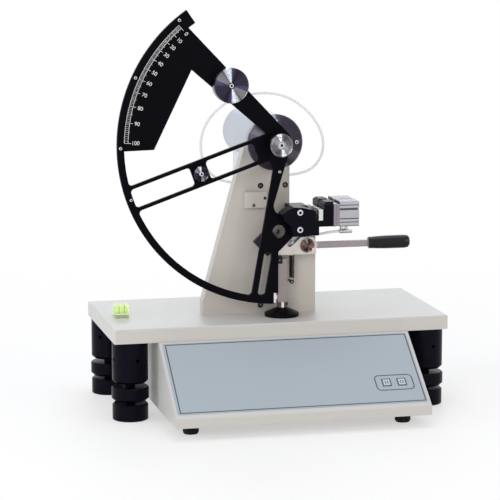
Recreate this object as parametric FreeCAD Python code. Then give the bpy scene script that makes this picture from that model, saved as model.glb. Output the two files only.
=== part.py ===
import FreeCAD, Part
import math
import os

os.makedirs("parts", exist_ok=True)
V = FreeCAD.Vector

# Pendulum tearing tester. +X is to the right, +Y away from the operator, +Z up from the bench.
# The origin lies on the bench, midway along the whole machine.

# Base plate and control box
plate_w = 480.0
plate_d = 224.0
plate_t = 20.0
plate_edge = 1.5           # chamfer round the base plate
foot_r = 25.0
foot_edge = 1.0            # feet to the plate's edges
foot_ring_r = 26.0
foot_h = 111.0             # bench to the underside of the base plate
box_foot_gap = 9.0         # control box to the feet's rings
box_w = plate_w - 2 * (foot_edge + foot_r + foot_ring_r + box_foot_gap)
box_reach = 119.0          # how far the control box stands out in front of the plate
box_top_back = 4.0         # top edge of the sloping face, in front of the plate's front edge
box_rear_gap = 19.0        # rear panel to the plate's back edge
box_lip_z = 17.0           # lower edge of the box
box_lip_h = 13.0           # upright lip under the sloping face
sheet = 2.0                # box sheet metal

front = (box_reach - plate_d) / 2
back = front + plate_d
plate_z = foot_h
deck = foot_h + plate_t    # top of the base plate

# Pendulum's rim and pivot
rim_r = 227.0
rim_w = 10.0
rim_clear = 19.7           # rim to the base plate
pivot_z = deck + rim_clear + rim_r
shaft_r = 6.0
shaft_clear = 0.05         # shaft in the bearings
barrel_r = 37.5
barrel_bore_r = 14.0
bearing_r = 16.0
bearing_t = 10.0
flange_t = 6.0
flange_r = 39.5
hub_r = 16.3
hub_len = 25.0
hub_face_t = 8.5           # bright disc on the front of the black hub

# Depths from the plate's front edge, all worked from the pillar's face
pillar_face = front + 78.0
pillar_t = 20.0
clamp_w = 30.0             # width of each specimen clamp, front to back
tear_gap = 3.0             # between the two clamps
pendulum_t = 5.0
fixed_y0 = pillar_face - clamp_w
moving_y1 = fixed_y0 - tear_gap
moving_y0 = moving_y1 - clamp_w
pend_y0 = moving_y1 - pendulum_t
pend_y1 = moving_y1

# Pendulum plate
tip_angle = 124.5          # angles are from +X, turning towards +Z, as seen from the front
scale_end_angle = 181.4
rim_end_x = -5.0
hub_plate_r = 21.0
spoke_angle = 199.4
spoke_half = 18.4
bar_w = 5.0
pad_r0 = 104.8
pad_r1 = 128.5
window_r0 = 32.5

# Clamps, as seen from the front
jaw_face_x = 49.0          # fixed jaw face
jaw_open = 4.5             # jaw gap when open
jaw_closed = 0.3
jaw_t = 6.0
clamp_floor = deck + 139.5  # bottom of the specimen slot
clamp_top = clamp_floor + 26.0
clamp_under = clamp_floor - 8.5
block_x0 = 61.0
block_x1 = 75.0
cover_t = 3.9
adapter_t = 4.8
cylinder_len = 28.3
cylinder_h = 35.5
piston_rod_r = 4.0
piston_r = 13.0
rod_gap = 0.3

# Knife lever
lever_x = 47.0
lever_z = deck + 99.0
lever_y0 = pend_y1 + 8.0
lever_t = 6.0
lever_angle = 25.0
knife_rise = 0.35 * lever_angle
grip_r = 8.3
grip_x0 = 137.5
grip_len = 60.5
bar_h = 9.4

# Release post and its foot
post_x = 9.7
post_y = front + 53.0
post_w = 12.9
post_d = 9.0
post_top = deck + 82.0
cone_r = 24.5

run_gap = 0.3              # running gap between pieces of different bodies


def box(x0, x1, y0, y1, z0, z1):
    return Part.makeBox(x1 - x0, y1 - y0, z1 - z0, V(x0, y0, z0))


def rod_y(r, y0, y1, x, z):
    return Part.makeCylinder(r, y1 - y0, V(x, y0, z), V(0, 1, 0))


def rod_x(r, x0, x1, y, z):
    return Part.makeCylinder(r, x1 - x0, V(x0, y, z), V(1, 0, 0))


def rod_z(r, z0, z1, x, y):
    return Part.makeCylinder(r, z1 - z0, V(x, y, z0), V(0, 0, 1))


def plate_xz(points, y0, y1):
    """A flat plate seen from the front: its outline in X and Z, between two depths."""
    wire = Part.makePolygon([V(x, y0, z) for x, z in points + points[:1]])
    return Part.Face(wire).extrude(V(0, y1 - y0, 0))


def plate_yz(points, x0, x1):
    """A profile seen from the side: its outline in Y and Z, between two places on X."""
    wire = Part.makePolygon([V(x0, y, z) for y, z in points + points[:1]])
    return Part.Face(wire).extrude(V(x1 - x0, 0, 0))


def polar(r, angle):
    """A point of the pendulum in X and Z, from its radius and its angle about the pivot."""
    a = math.radians(angle)
    return r * math.cos(a), pivot_z + r * math.sin(a)


def edges_along(shape, direction, keep):
    """The straight edges that run along a direction and whose middle passes the test."""
    found = []
    for edge in shape.Edges:
        if not isinstance(edge.Curve, Part.Line):
            continue
        if abs(edge.Curve.Direction.dot(direction)) < 0.999:
            continue
        if keep(edge.CenterOfMass):
            found.append(edge)
    return found


def rounded(shape, direction, radius, keep=lambda p: True):
    return shape.makeFillet(radius, edges_along(shape, direction, keep))


def turned(points, base, axis):
    """A turned piece: radius and distance pairs along an axis from a base point."""
    up = V(0, 0, 1)
    wire = Part.makePolygon([V(r, 0, h) for r, h in points + points[:1]])
    body = Part.Face(wire).revolve(V(0, 0, 0), up, 360)
    body.Placement = FreeCAD.Placement(base, FreeCAD.Rotation(up, axis))
    return body


def socket_screw(x, y, z, axis, head_r=2.75, head_h=3.0, shank_r=1.5, shank_len=6.0):
    """A cap screw: the underside of its head at the point, its shank going against the axis."""
    points = [(0, -shank_len), (shank_r, -shank_len), (shank_r, 0), (head_r, 0),
              (head_r, head_h - 0.4), (head_r - 0.4, head_h), (head_r * 0.5, head_h),
              (head_r * 0.5, head_h * 0.45), (0, head_h * 0.45)]
    return turned(points, V(x, y, z), axis)


def screw_hole(x, y, z, axis, shank_r=1.5, shank_len=6.0):
    """The tapped hole that such a screw fills."""
    points = [(0, -shank_len), (shank_r, -shank_len), (shank_r, 0), (0, 0)]
    return turned(points, V(x, y, z), axis)


def save(name, *solids):
    shape = solids[0] if len(solids) == 1 else Part.makeCompound(solids)
    pieces = shape.Solids
    assert pieces and all(s.isValid() for s in pieces), name
    out = pieces[0] if len(pieces) == 1 else Part.makeCompound(pieces)
    out.exportStep("parts/" + name + ".step")
    print("%-24s solids %d  volume %.0f" % (name, len(pieces), sum(s.Volume for s in pieces)))


# Feet: a tube on the base plate, a threaded pad on the bench and a lock ring between them
pad_h = 23.0
ring_z0 = 27.0
ring_z1 = 46.5
stud_r = 7.0
tube_z0 = 52.5
tube_bore_depth = 30.0
pin_hole_r = 2.5           # holes for the pin that turns a tube or a ring
pin_hole_depth = 8.0
pin_hole_drop = 25.0       # from the tube's top
tube_chamfer = 3.5
ring_chamfer = 3.8
ring_top_edge = 1.6
foot_places = [("front_left", -1, -1, 285), ("front_right", 1, -1, 283), ("back_left", -1, 1, 231),
               ("back_right", 1, 1, 262)]
foot_in = foot_r + foot_edge
tubes, pads = [], []



def pin_hole(out_r, turn, z, x, y):
    """A blind hole that points at the foot's axis, at this turn round it."""
    out = V(math.cos(math.radians(turn)), math.sin(math.radians(turn)), 0)
    return Part.makeCylinder(pin_hole_r, pin_hole_depth + 2, V(x, y, z) + out * (out_r - pin_hole_depth), out)


for foot_name, side, end, foot_turn in foot_places:
    fx = side * (plate_w / 2 - foot_in)
    fy = (front + foot_in) if end < 0 else (back - foot_in)
    tube = turned([(0, tube_z0), (foot_r - tube_chamfer, tube_z0), (foot_r, tube_z0 + tube_chamfer),
                   (foot_r, foot_h), (0, foot_h)], V(fx, fy, 0), V(0, 0, 1))
    tube = tube.cut(rod_z(stud_r, tube_z0, tube_z0 + tube_bore_depth, fx, fy))
    for turn in range(0, 360, 90):
        tube = tube.cut(pin_hole(foot_r, foot_turn + turn, foot_h - pin_hole_drop, fx, fy))
    tubes.append(tube)
    pads.append(turned([(0, 0), (foot_r - 1, 0), (foot_r, 1), (foot_r, pad_h - 2),
                        (foot_r - 2, pad_h), (stud_r, pad_h), (stud_r, tube_z0 + tube_bore_depth),
                        (0, tube_z0 + tube_bore_depth)], V(fx, fy, 0), V(0, 0, 1)))
    ring = turned([(stud_r + run_gap, ring_z0), (foot_ring_r - ring_chamfer, ring_z0),
                   (foot_ring_r, ring_z0 + ring_chamfer), (foot_ring_r, ring_z1 - ring_top_edge),
                   (foot_ring_r - ring_top_edge, ring_z1), (stud_r + run_gap, ring_z1)],
                  V(fx, fy, 0), V(0, 0, 1))
    for turn in (30, 120):     # towards the back when the ring is at rest
        ring = ring.cut(pin_hole(foot_ring_r, turn, (ring_z0 + ring_z1) / 2, fx, fy))
    save("foot_ring_" + foot_name, ring)
save("foot_tubes", *tubes)
save("foot_pads", *pads)

# Base plate
plate = box(-plate_w / 2, plate_w / 2, front, back, plate_z, deck)
plate = rounded(plate, V(0, 0, 1), 3.0)
save("base_plate", plate.makeChamfer(plate_edge, [e for e in plate.Edges if e.CenterOfMass.z > deck - 0.01]))

# Control box: a folded cover under the plate, with its floor and rear panel
slope_top_y = front - box_top_back
slope_low_y = front - box_reach
box_rear = back - box_rear_gap
slope_low_z = box_lip_z + box_lip_h
slope = math.atan2(plate_z - slope_low_z, slope_top_y - slope_low_y)
slope_len = math.hypot(plate_z - slope_low_z, slope_top_y - slope_low_y)
half_box = box_w / 2
outer_side = [(slope_low_y, box_lip_z), (box_rear, box_lip_z), (box_rear, plate_z),
              (slope_top_y, plate_z), (slope_low_y, slope_low_z)]
cover = plate_yz(outer_side, -half_box, half_box)
cover = rounded(cover, V(1, 0, 0), 3.0, lambda p: p.y < slope_low_y + 1 and p.z > box_lip_z + 1)
back_in = sheet / math.cos(slope) * (1 - math.sin(slope))
inner_side = [(slope_low_y + sheet, box_lip_z - 1), (box_rear + 1, box_lip_z - 1),
              (box_rear + 1, plate_z - sheet), (slope_top_y + back_in, plate_z - sheet),
              (slope_low_y + sheet, slope_low_z - back_in)]
hollow = plate_yz(inner_side, -half_box + sheet, half_box - sheet)
cover = cover.cut(hollow)


def on_panel(shape):
    """Carries a piece drawn flat onto the sloping face: +Y goes up the slope, +Z stands out of it."""
    turn = FreeCAD.Rotation(V(1, 0, 0), math.degrees(slope))
    moved = shape.copy()
    moved.Placement = FreeCAD.Placement(V(0, slope_top_y, plate_z), turn).multiply(shape.Placement)
    return moved


# Membrane panel and its two keys
overlay_t = 0.6
overlay_half = half_box - 4.0
overlay_s0 = 2.5
overlay_s1 = 133.0
key_w = 12.6
key_d = 13.8
key_s = 94.6               # centre of the keys, down the slope
key_x = {"clamp_key": overlay_half - 50.2, "release_key": overlay_half - 28.4}
key_stand = 0.5            # how far a key stands above the membrane
key_gap = 0.3
key_stem_r = 2.5
key_travel = 0.8
board_below = 9.0          # circuit board, under the sloping face
board_t = 1.6
overlay = box(-overlay_half, overlay_half, -overlay_s1, -overlay_s0, 0, overlay_t)
overlay = rounded(overlay, V(0, 0, 1), 2.0)
for name, kx in key_x.items():
    window = box(kx - key_w / 2 - key_gap, kx + key_w / 2 + key_gap,
                 -key_s - key_d / 2 - key_gap, -key_s + key_d / 2 + key_gap, -sheet - 2, overlay_t + 1)
    overlay = overlay.cut(window)
    cover = cover.cut(on_panel(window))
    cap = box(kx - key_w / 2, kx + key_w / 2, -key_s - key_d / 2, -key_s + key_d / 2,
              -sheet, overlay_t + key_stand)
    cap = rounded(cap, V(0, 0, 1), 1.5)
    top_edges = [e for e in cap.Edges if e.CenterOfMass.z > overlay_t + key_stand - 0.01]
    cap = cap.makeChamfer(0.4, top_edges)
    stem = rod_z(key_stem_r, -board_below + 1.5 + key_travel + 0.3, -sheet, kx, -key_s)
    save(name, on_panel(cap.fuse(stem)))
save("panel_overlay", on_panel(overlay))
save("control_box_cover", cover)

# Circuit board with its display driver and two dome switches, on four stand-offs
board_x0 = -60.0
board_x1 = overlay_half - 15.0
board = box(board_x0, board_x1, -key_s - 20, -key_s + 35, -board_below - board_t, -board_below)
parts_on_board = [board]
for kx in key_x.values():
    parts_on_board.append(rod_z(3.5, -board_below, -board_below + 1.5, kx, -key_s))
parts_on_board.append(box(-10, 20, -key_s - 8, -key_s + 8, -board_below, -board_below + 4))
parts_on_board.append(box(-50, -35, -key_s - 8, -key_s + 20, -board_below, -board_below + 5.5))
for bx in (board_x0 + 5, board_x1 - 5):
    for by in (-key_s - 15, -key_s + 30):
        parts_on_board.append(rod_z(3.0, -board_below, -sheet, bx, by))
board = parts_on_board[0].multiFuse(parts_on_board[1:])
save("circuit_board", on_panel(board))

# Floor of the box, its feet, the power supply and the air valve
floor_z1 = box_lip_z + sheet
inner_half = half_box - sheet
floor = box(-inner_half, inner_half, slope_low_y + sheet, box_rear - sheet, box_lip_z, floor_z1)
box_foot_r = 11.0
box_feet = []
for sx in (29.0 - half_box, half_box - 29.0):
    for fy in (slope_low_y + 42.0, box_rear - 30.0):
        box_feet.append(turned([(0, 0), (box_foot_r - 1.5, 0), (box_foot_r, 2.5), (box_foot_r, box_lip_z),
                                (0, box_lip_z)], V(sx, fy, 0), V(0, 0, 1)))
save("box_feet", *box_feet)
supply_w = 100.0
supply_d = 60.0
supply_h = 36.0
supply_x0 = 29.0 - half_box
supply_y0 = front + 70.0
supply = box(supply_x0, supply_x0 + supply_w, supply_y0, supply_y0 + supply_d, floor_z1, floor_z1 + supply_h)
vent_w = 4.0
vent_step = 10.0
vent_in = 12.0             # from the supply's front and back edges
vent_deep = 3.0
for k in range(9):
    x = supply_x0 + 8 + k * vent_step
    supply = supply.cut(box(x, x + vent_w, supply_y0 + vent_in, supply_y0 + supply_d - vent_in,
                            floor_z1 + supply_h - vent_deep, floor_z1 + supply_h + 1))
save("power_supply", supply)
valve_w = 60.0
valve_d = 22.0
valve_h = 28.0
coil_w = 22.0              # one magnet coil stands on the valve for each clamp
coil_h = 30.0
port_r = 5.0
port_len = 12.0
valve_x0 = half_box - 119.0
valve = box(valve_x0, valve_x0 + valve_w, supply_y0, supply_y0 + valve_d, floor_z1, floor_z1 + valve_h)
for coil_x0 in (valve_x0 + 4, valve_x0 + valve_w - 4 - coil_w):
    valve = valve.fuse(box(coil_x0, coil_x0 + coil_w, supply_y0 + 1, supply_y0 + valve_d - 1,
                           floor_z1 + valve_h, floor_z1 + valve_h + coil_h))
    valve = valve.fuse(rod_y(port_r, supply_y0 + valve_d, supply_y0 + valve_d + port_len,
                             coil_x0 + coil_w / 2, floor_z1 + valve_h / 2))
save("air_valve", valve)

# Rear panel with the mains inlet, its rocker and the air inlet
inlet_x = 59.0 - half_box
inlet_z = 62.0
inlet_half_w = 14.0        # body of the mains inlet, behind the panel
inlet_half_h = 10.0
inlet_deep = 24.0
inlet_ear = 11.0           # how far its flange reaches past the body on each side
inlet_flange_t = 2.5
inlet_wall = 2.0
inlet_socket = 16.0        # depth of the recess
prong_half_w = 1.0
prong_half_h = 2.0
prong_len = 12.0
rocker_x = inlet_x + 40.0
rocker_half_w = 7.6
rocker_half_h = 4.6
rocker_frame_w = 10.0      # half the width of the rocker's frame
rocker_frame_h = 7.0
rocker_deep = 14.0
rocker_lip = 2.0
air_x = half_box - 69.0
air_bore_r = 3.0
air_bore_depth = 12.0
air_body_r = 7.0
air_len = 15.0
rear_y0 = box_rear - sheet
rear_panel = box(-inner_half, inner_half, rear_y0, box_rear, box_lip_z, plate_z - sheet)
for x, half_x, half_z in ((inlet_x, inlet_half_w, inlet_half_h), (rocker_x, rocker_frame_w, rocker_frame_h)):
    rear_panel = rear_panel.cut(box(x - half_x, x + half_x, rear_y0 - 1, box_rear + 1,
                                    inlet_z - half_z, inlet_z + half_z))
rear_panel = rear_panel.cut(rod_y(air_body_r - 1.5, rear_y0 - 1, box_rear + 1, air_x, inlet_z))
save("control_box_panels", floor, rear_panel)


def on_rear(x, half_w, half_h, y0, y1):
    """A block on the rear panel, centred on this X at the height of the inlets."""
    return box(x - half_w, x + half_w, box_rear + y0, box_rear + y1, inlet_z - half_h, inlet_z + half_h)


inlet = on_rear(inlet_x, inlet_half_w, inlet_half_h, -inlet_deep, 0)
inlet = inlet.fuse(on_rear(inlet_x, inlet_half_w + inlet_ear, inlet_half_h + 1.5, 0, inlet_flange_t))
inlet = inlet.cut(on_rear(inlet_x, inlet_half_w - inlet_wall, inlet_half_h - inlet_wall, -inlet_socket,
                          inlet_flange_t + 1))
for dx, dz in ((-7, -1), (0, 3), (7, -1)):
    prong = on_rear(inlet_x + dx, prong_half_w, prong_half_h, -inlet_socket, prong_len - inlet_socket)
    prong.translate(V(0, 0, dz))
    inlet = inlet.fuse(prong)
rocker_pin_r = 1.2
rocker_pin_y = box_rear - 4.0
frame = on_rear(rocker_x, rocker_frame_w, rocker_frame_h, -rocker_deep, 0)
frame = frame.fuse(on_rear(rocker_x, rocker_frame_w + rocker_lip, rocker_frame_h + rocker_lip, 0, rocker_lip))
frame = frame.cut(on_rear(rocker_x, rocker_half_w + 0.4, rocker_half_h + 1.2, 2 - rocker_deep,
                          rocker_lip + 1))
frame = frame.cut(rod_x(rocker_pin_r + shaft_clear, rocker_x - rocker_half_w - 1.6,
                        rocker_x + rocker_half_w + 1.6, rocker_pin_y, inlet_z))
save("power_inlet", inlet, frame)
rocker_side = [(box_rear + 4.5, 0.4 - rocker_half_h), (rocker_pin_y + 3.2, -rocker_half_h),
               (rocker_pin_y - 3, -2), (rocker_pin_y - 3, 2), (rocker_pin_y + 3.2, rocker_half_h),
               (box_rear + 4.5, rocker_half_h - 0.4), (box_rear + 3.2, 0)]
rocker = plate_yz([(y, inlet_z + z) for y, z in rocker_side],
                  rocker_x - rocker_half_w, rocker_x + rocker_half_w)
rocker = rocker.fuse(rod_x(rocker_pin_r, rocker_x - rocker_half_w - 1.4, rocker_x + rocker_half_w + 1.4,
                           rocker_pin_y, inlet_z))
save("power_rocker", rocker)
air = rod_y(air_body_r - 1.5, rear_y0 - 10, box_rear, air_x, inlet_z)
air = air.fuse(turned([(0, 0), (air_body_r + 1, 0), (air_body_r + 1, 5), (air_body_r, 6),
                       (air_body_r, air_len - 2), (air_body_r - 1, air_len - 1), (air_body_r - 2, air_len),
                       (0, air_len)], V(air_x, box_rear, inlet_z), V(0, 1, 0)))
air = air.cut(rod_y(air_bore_r, box_rear + air_len - air_bore_depth, box_rear + air_len + 1, air_x, inlet_z))
air = air.cut(rod_y(air_bore_r - 1, rear_y0 - 11, box_rear + air_len, air_x, inlet_z))
save("air_inlet", air)

# Bubble level on the left of the plate
level_x0 = 17.0 - plate_w / 2
level_y0 = front + 83.0
level_w = 19.0
level_d = 30.0
level_h = 17.0
vial_r = 5.0
level = box(level_x0, level_x0 + level_w, level_y0, level_y0 + level_d, deck, deck + level_h)
vial_y = level_y0 + level_d / 2
vial_z = deck + level_h - vial_r - 2.5
level = level.cut(rod_x(vial_r, level_x0 + 1.5, level_x0 + level_w + 1, vial_y, vial_z))
level = level.makeChamfer(1.0, edges_along(level, V(1, 0, 0), lambda p: p.z > deck + level_h - 0.1))
save("level_block", level)
save("level_vial", rod_x(vial_r, level_x0 + 1.5, level_x0 + level_w - 1.5, vial_y, vial_z).fuse(
    rod_x(vial_r - 1, level_x0 + level_w - 1.5, level_x0 + level_w, vial_y, vial_z)))

# Pillar: a thick plate with a saddle that holds the bearing barrel
pillar_y1 = pillar_face + pillar_t
pillar_right = lever_x + 18.5
pillar_outline = [(-99.0, deck), (-99.0, deck + 20), (-barrel_r - 1.1, pivot_z - 8), (27.0, pivot_z - 8),
                  (27.0, clamp_floor + 16.5), (pillar_right, lever_z + 10), (pillar_right, deck)]
pillar = plate_xz(pillar_outline, pillar_face, pillar_y1)
pillar = pillar.cut(rod_y(barrel_r, pillar_face - 1, pillar_y1 + 1, 0, pivot_z))
pillar_screw_x = (-15.0, 21.0)
pillar_screw_z = (deck + 11.5, clamp_floor + 43.5)
pillar_screw_r = 2.5
pillar_head_r = 4.0
toward = V(0, -1, 0)
for x in pillar_screw_x:
    for z in pillar_screw_z:
        pillar = pillar.cut(rod_y(pillar_head_r + 0.2, pillar_face - 1, pillar_face + 4.5, x, z))
        pillar = pillar.cut(rod_y(pillar_screw_r, pillar_face, pillar_y1 + 1, x, z))

# Rear column: a square tube behind the pillar that carries the back of the barrel
column_half = 26.0
column_y1 = front + 205.0
column_wall = 3.0
column = box(-column_half, column_half, pillar_y1, column_y1, deck, pivot_z - 20)
column = column.cut(box(-column_half + column_wall, column_half - column_wall, pillar_y1 + column_wall,
                        column_y1 - column_wall, deck - 1, pivot_z))
column = column.cut(rod_y(barrel_r, pillar_y1 - 1, column_y1 + 1, 0, pivot_z))
for x in pillar_screw_x:
    for z in pillar_screw_z:
        column = column.cut(rod_y(pillar_screw_r, pillar_y1 - 1, pillar_y1 + column_wall + 1, x, z))

# Bearing barrel with its flange, bearings, rear cap and angle encoder
flange_y0 = front + 52.0
barrel_y0 = flange_y0 + flange_t
barrel_y1 = front + 218.0
cap_t = 4.0
barrel = rod_y(barrel_r, barrel_y0, barrel_y1, 0, pivot_z)
for k in range(3):
    groove_y = barrel_y0 + 3.0 + k * 4.5
    ring = rod_y(barrel_r + 1, groove_y, groove_y + 1.6, 0, pivot_z)
    barrel = barrel.cut(ring.cut(rod_y(barrel_r - 1.2, groove_y - 1, groove_y + 3, 0, pivot_z)))
barrel = barrel.cut(rod_y(barrel_bore_r, barrel_y0 - 1, barrel_y1 + 1, 0, pivot_z))
front_bearing_y = barrel_y0
rear_bearing_y = barrel_y1 - 45.0
encoder_y0 = rear_bearing_y + bearing_t
barrel = barrel.cut(rod_y(bearing_r, front_bearing_y - 1, front_bearing_y + bearing_t, 0, pivot_z))
barrel = barrel.cut(rod_y(bearing_r, rear_bearing_y, barrel_y1 + 1, 0, pivot_z))
flange_bore_r = shaft_r + 2.0
flange = turned([(flange_bore_r, 0), (flange_r - 1.5, 0), (flange_r, 1.5), (flange_r, flange_t),
                 (flange_bore_r, flange_t)], V(0, flange_y0, pivot_z), V(0, 1, 0))
flange_screw_r = 30.0
stand_screws = []
for turn in (0, 90, 180, 270):
    x, z = polar(flange_screw_r, turn)
    flange = flange.cut(rod_y(1.5, flange_y0 - 1, flange_y0 + flange_t + 1, x, z))
    barrel = barrel.cut(rod_y(1.5, barrel_y0 - 1, barrel_y0 + 6, x, z))
    stand_screws.append(socket_screw(x, flange_y0, z, toward, 2.75, 3.0, 1.5, flange_t + 6))
bearings = []
for y in (front_bearing_y, rear_bearing_y):
    race = rod_y(bearing_r, y, y + bearing_t, 0, pivot_z)
    race = race.cut(rod_y(shaft_r + shaft_clear, y - 1, y + bearing_t + 1, 0, pivot_z))
    for face in (y, y + bearing_t - 1.0):
        seal = rod_y(bearing_r - 2.5, face, face + 1.0, 0, pivot_z)
        race = race.cut(seal.cut(rod_y(shaft_r + 2.5, face, face + 1.0, 0, pivot_z)))
    bearings.append(race)
save("shaft_bearings", *bearings)
save("bearing_barrel", barrel)
save("barrel_flange", flange)
encoder = rod_y(bearing_r, encoder_y0, barrel_y1 - 4, 0, pivot_z)
shaft_y1 = encoder_y0 + 12.0
encoder = encoder.cut(rod_y(shaft_r + run_gap, encoder_y0 - 1, shaft_y1 + 2, 0, pivot_z))
save("angle_encoder", encoder)
cap = turned([(0, 0), (barrel_r, 0), (barrel_r, cap_t - 1.5), (barrel_r - 1.5, cap_t), (0, cap_t)],
             V(0, barrel_y1, pivot_z), V(0, 1, 0))
save("barrel_cap", cap)

# Cover plate of the angle sensor's connector, on the pillar's face
sensor_x0, sensor_x1 = -38.5, -7.0
sensor_z0, sensor_z1 = clamp_floor + 13.0, clamp_floor + 36.0
sensor_t = 9.0
sensor = box(sensor_x0, sensor_x1, pillar_face - sensor_t, pillar_face, sensor_z0, sensor_z1)
sensor_front = [e for e in sensor.Edges if e.CenterOfMass.y < pillar_face - sensor_t + 0.01]
sensor = sensor.makeChamfer(0.5, sensor_front)
for x, z in ((sensor_x0 + 11.5, sensor_z0 + 3.8), (sensor_x1 - 3.8, sensor_z0 + 13.8)):
    sensor = sensor.cut(screw_hole(x, pillar_face - sensor_t, z, toward, 1.2, sensor_t))
    pillar = pillar.cut(screw_hole(x, pillar_face, z, toward, 1.2, 4.0))
    stand_screws.append(socket_screw(x, pillar_face - sensor_t, z, toward, 2.1, 1.2, 1.2, sensor_t + 4))
save("sensor_cover", sensor)
for x in pillar_screw_x:
    for z in pillar_screw_z:
        stand_screws.append(socket_screw(x, pillar_face + 4.5, z, toward, pillar_head_r, 4.0,
                                         pillar_screw_r, pillar_t - 4.5 + column_wall))


def clamp_parts(y0, y1, left_block, left_y1):
    """A pneumatic clamp: its U-shaped body, cover plates, cylinder and the sliding jaw."""
    mid_y = (y0 + y1) / 2
    mid_z = (clamp_floor + clamp_top) / 2 - 4.0
    body = plate_xz(left_block, y0, left_y1)
    body = body.fuse(box(jaw_face_x, block_x0 + 1, y0, y1, clamp_under, clamp_floor))
    block = box(block_x0, block_x1, y0, y1, clamp_under, clamp_top)
    block = block.makeChamfer(4.0, edges_along(block, V(1, 0, 0), lambda p: p.z > clamp_top - 0.1))
    inner_top = edges_along(block, V(0, 1, 0), lambda p: p.z > clamp_top - 0.1 and p.x < block_x0 + 1)
    block = block.makeChamfer(3.0, inner_top)
    body = body.fuse(block).removeSplitter()
    body = body.cut(rod_x(piston_rod_r + rod_gap, block_x0 - 1, block_x1 + 1, mid_y, mid_z))
    cover_x1 = block_x1 + cover_t
    adapter_x1 = cover_x1 + adapter_t
    cover_z0 = clamp_under - 0.5
    cover_z1 = clamp_top - 3.0
    cover = box(block_x1, cover_x1, y0 + 0.5, y1 - 0.5, cover_z0, cover_z1)
    adapter = box(cover_x1, adapter_x1, y0, y1, cover_z0 + 0.5, cover_z1 - 0.5)
    adapter = rounded(adapter, V(1, 0, 0), 1.5)
    cylinder_x1 = adapter_x1 + cylinder_len
    z0 = clamp_top - cylinder_h
    air_cylinder = box(adapter_x1, cylinder_x1, y0, y1, z0, clamp_top)
    air_cylinder = rounded(air_cylinder, V(1, 0, 0), 2.5)
    slot_x0 = adapter_x1 - 1
    slot_x1 = cylinder_x1 + 1
    slots = []
    for dz, deep, half in ((-11.5, 0.8, 0.6), (-6.5, 1.0, 0.8), (7.0, 2.4, 1.5), (12.5, 0.8, 0.6)):
        z = z0 + cylinder_h / 2 + dz
        slots.append(box(slot_x0, slot_x1, y0 - 1, y0 + deep, z - half, z + half))
        slots.append(box(slot_x0, slot_x1, y1 - deep, y1 + 1, z - half, z + half))
    for dy in (-8.5, 0.0, 8.5):
        y = mid_y + dy
        slots.append(box(slot_x0, slot_x1, y - 1.5, y + 1.5, clamp_top - 2.2, clamp_top + 1))
        slots.append(box(slot_x0, slot_x1, y - 1.5, y + 1.5, z0 - 1, z0 + 1.2))
    air_cylinder = air_cylinder.cut(Part.makeCompound(slots))
    bore_x0 = adapter_x1 + 2.0
    bore_x1 = cylinder_x1 - 4.0
    air_cylinder = air_cylinder.cut(rod_x(piston_r + rod_gap, bore_x0, bore_x1, mid_y, mid_z + 0.5))
    end_groove = rod_x(piston_r + 0.8, cylinder_x1 - 1.0, cylinder_x1 + 1, mid_y, mid_z + 0.5)
    end_groove = end_groove.cut(rod_x(piston_r - 0.6, cylinder_x1 - 2, cylinder_x1 + 1, mid_y, mid_z + 0.5))
    air_cylinder = air_cylinder.cut(end_groove)
    rod_cut = rod_x(piston_rod_r + rod_gap, block_x0 - 1, bore_x0 + 1, mid_y, mid_z)
    cover = cover.cut(rod_cut)
    adapter = adapter.cut(rod_cut)
    air_cylinder = air_cylinder.cut(rod_cut)
    jaw_x0 = jaw_face_x + jaw_open
    jaw_x1 = jaw_x0 + jaw_t
    jaw = box(jaw_x0, jaw_x1, y0 + 0.5, y1 - 0.5, clamp_floor + run_gap, clamp_top - 10.0)
    teeth = []
    for k in range(7):
        z = clamp_floor + 2.2 + k * 1.9
        teeth.append(box(jaw_x0 - 1, jaw_x0 + 0.4, y0, y1, z, z + 0.7))
    jaw = jaw.cut(Part.makeCompound(teeth))
    piston_x0 = bore_x1 - 9.0
    jaw = jaw.fuse(rod_x(piston_rod_r, jaw_x1 - 1, piston_x0 + 1, mid_y, mid_z))
    jaw = jaw.fuse(rod_x(piston_r, piston_x0, piston_x0 + 6.0, mid_y, mid_z + 0.5))
    return body, cover, adapter, air_cylinder, jaw


# Moving clamp, on the pendulum
step_x = jaw_face_x + 5.0      # lower step of the body, under the jaw gap
web_z = clamp_floor - 20.5     # lower edge of the body and of the web behind it
arch = [(16.0, web_z - 1), (step_x, web_z), (step_x, clamp_floor), (jaw_face_x, clamp_floor),
        (jaw_face_x, clamp_floor + 13), (45.0, clamp_floor + 15.5), (30.0, clamp_floor + 19.1),
        (18.0, clamp_floor + 20), (8.0, clamp_floor + 16), (0.5, clamp_floor + 10), (4.0, clamp_floor + 1.5),
        (16.0, clamp_floor - 8.5)]
body, cover_plate, adapter_plate, air_cylinder, jaw = clamp_parts(moving_y0, moving_y1, arch, pend_y0)
clamp_screw_places = ((26.5, clamp_floor + 12.3), (26.5, clamp_floor - 12))
pend_screws = []
for x, z in clamp_screw_places:
    body = body.cut(rod_y(4.4, moving_y0 - 1, moving_y0 + 3.0, x, z))
    body = body.cut(rod_y(2.5, moving_y0, pend_y0 + 1, x, z))
    pend_screws.append(socket_screw(x, moving_y0 + 3.0, z, toward, 4.2, 4.0, 2.5, pend_y1 - moving_y0 - 4.0))
step_screw_y = (moving_y0 + moving_y1) / 2
step_screw_z = clamp_floor - 13.0
body = body.cut(screw_hole(step_x, step_screw_y, step_screw_z, V(1, 0, 0)))
pend_screws.append(socket_screw(step_x, step_screw_y, step_screw_z, V(1, 0, 0), 3.2, 3.4))
save("moving_clamp_body", body)
save("moving_clamp_plates", cover_plate, adapter_plate)
save("moving_clamp_cylinder", air_cylinder)
save("moving_jaw", jaw)

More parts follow.
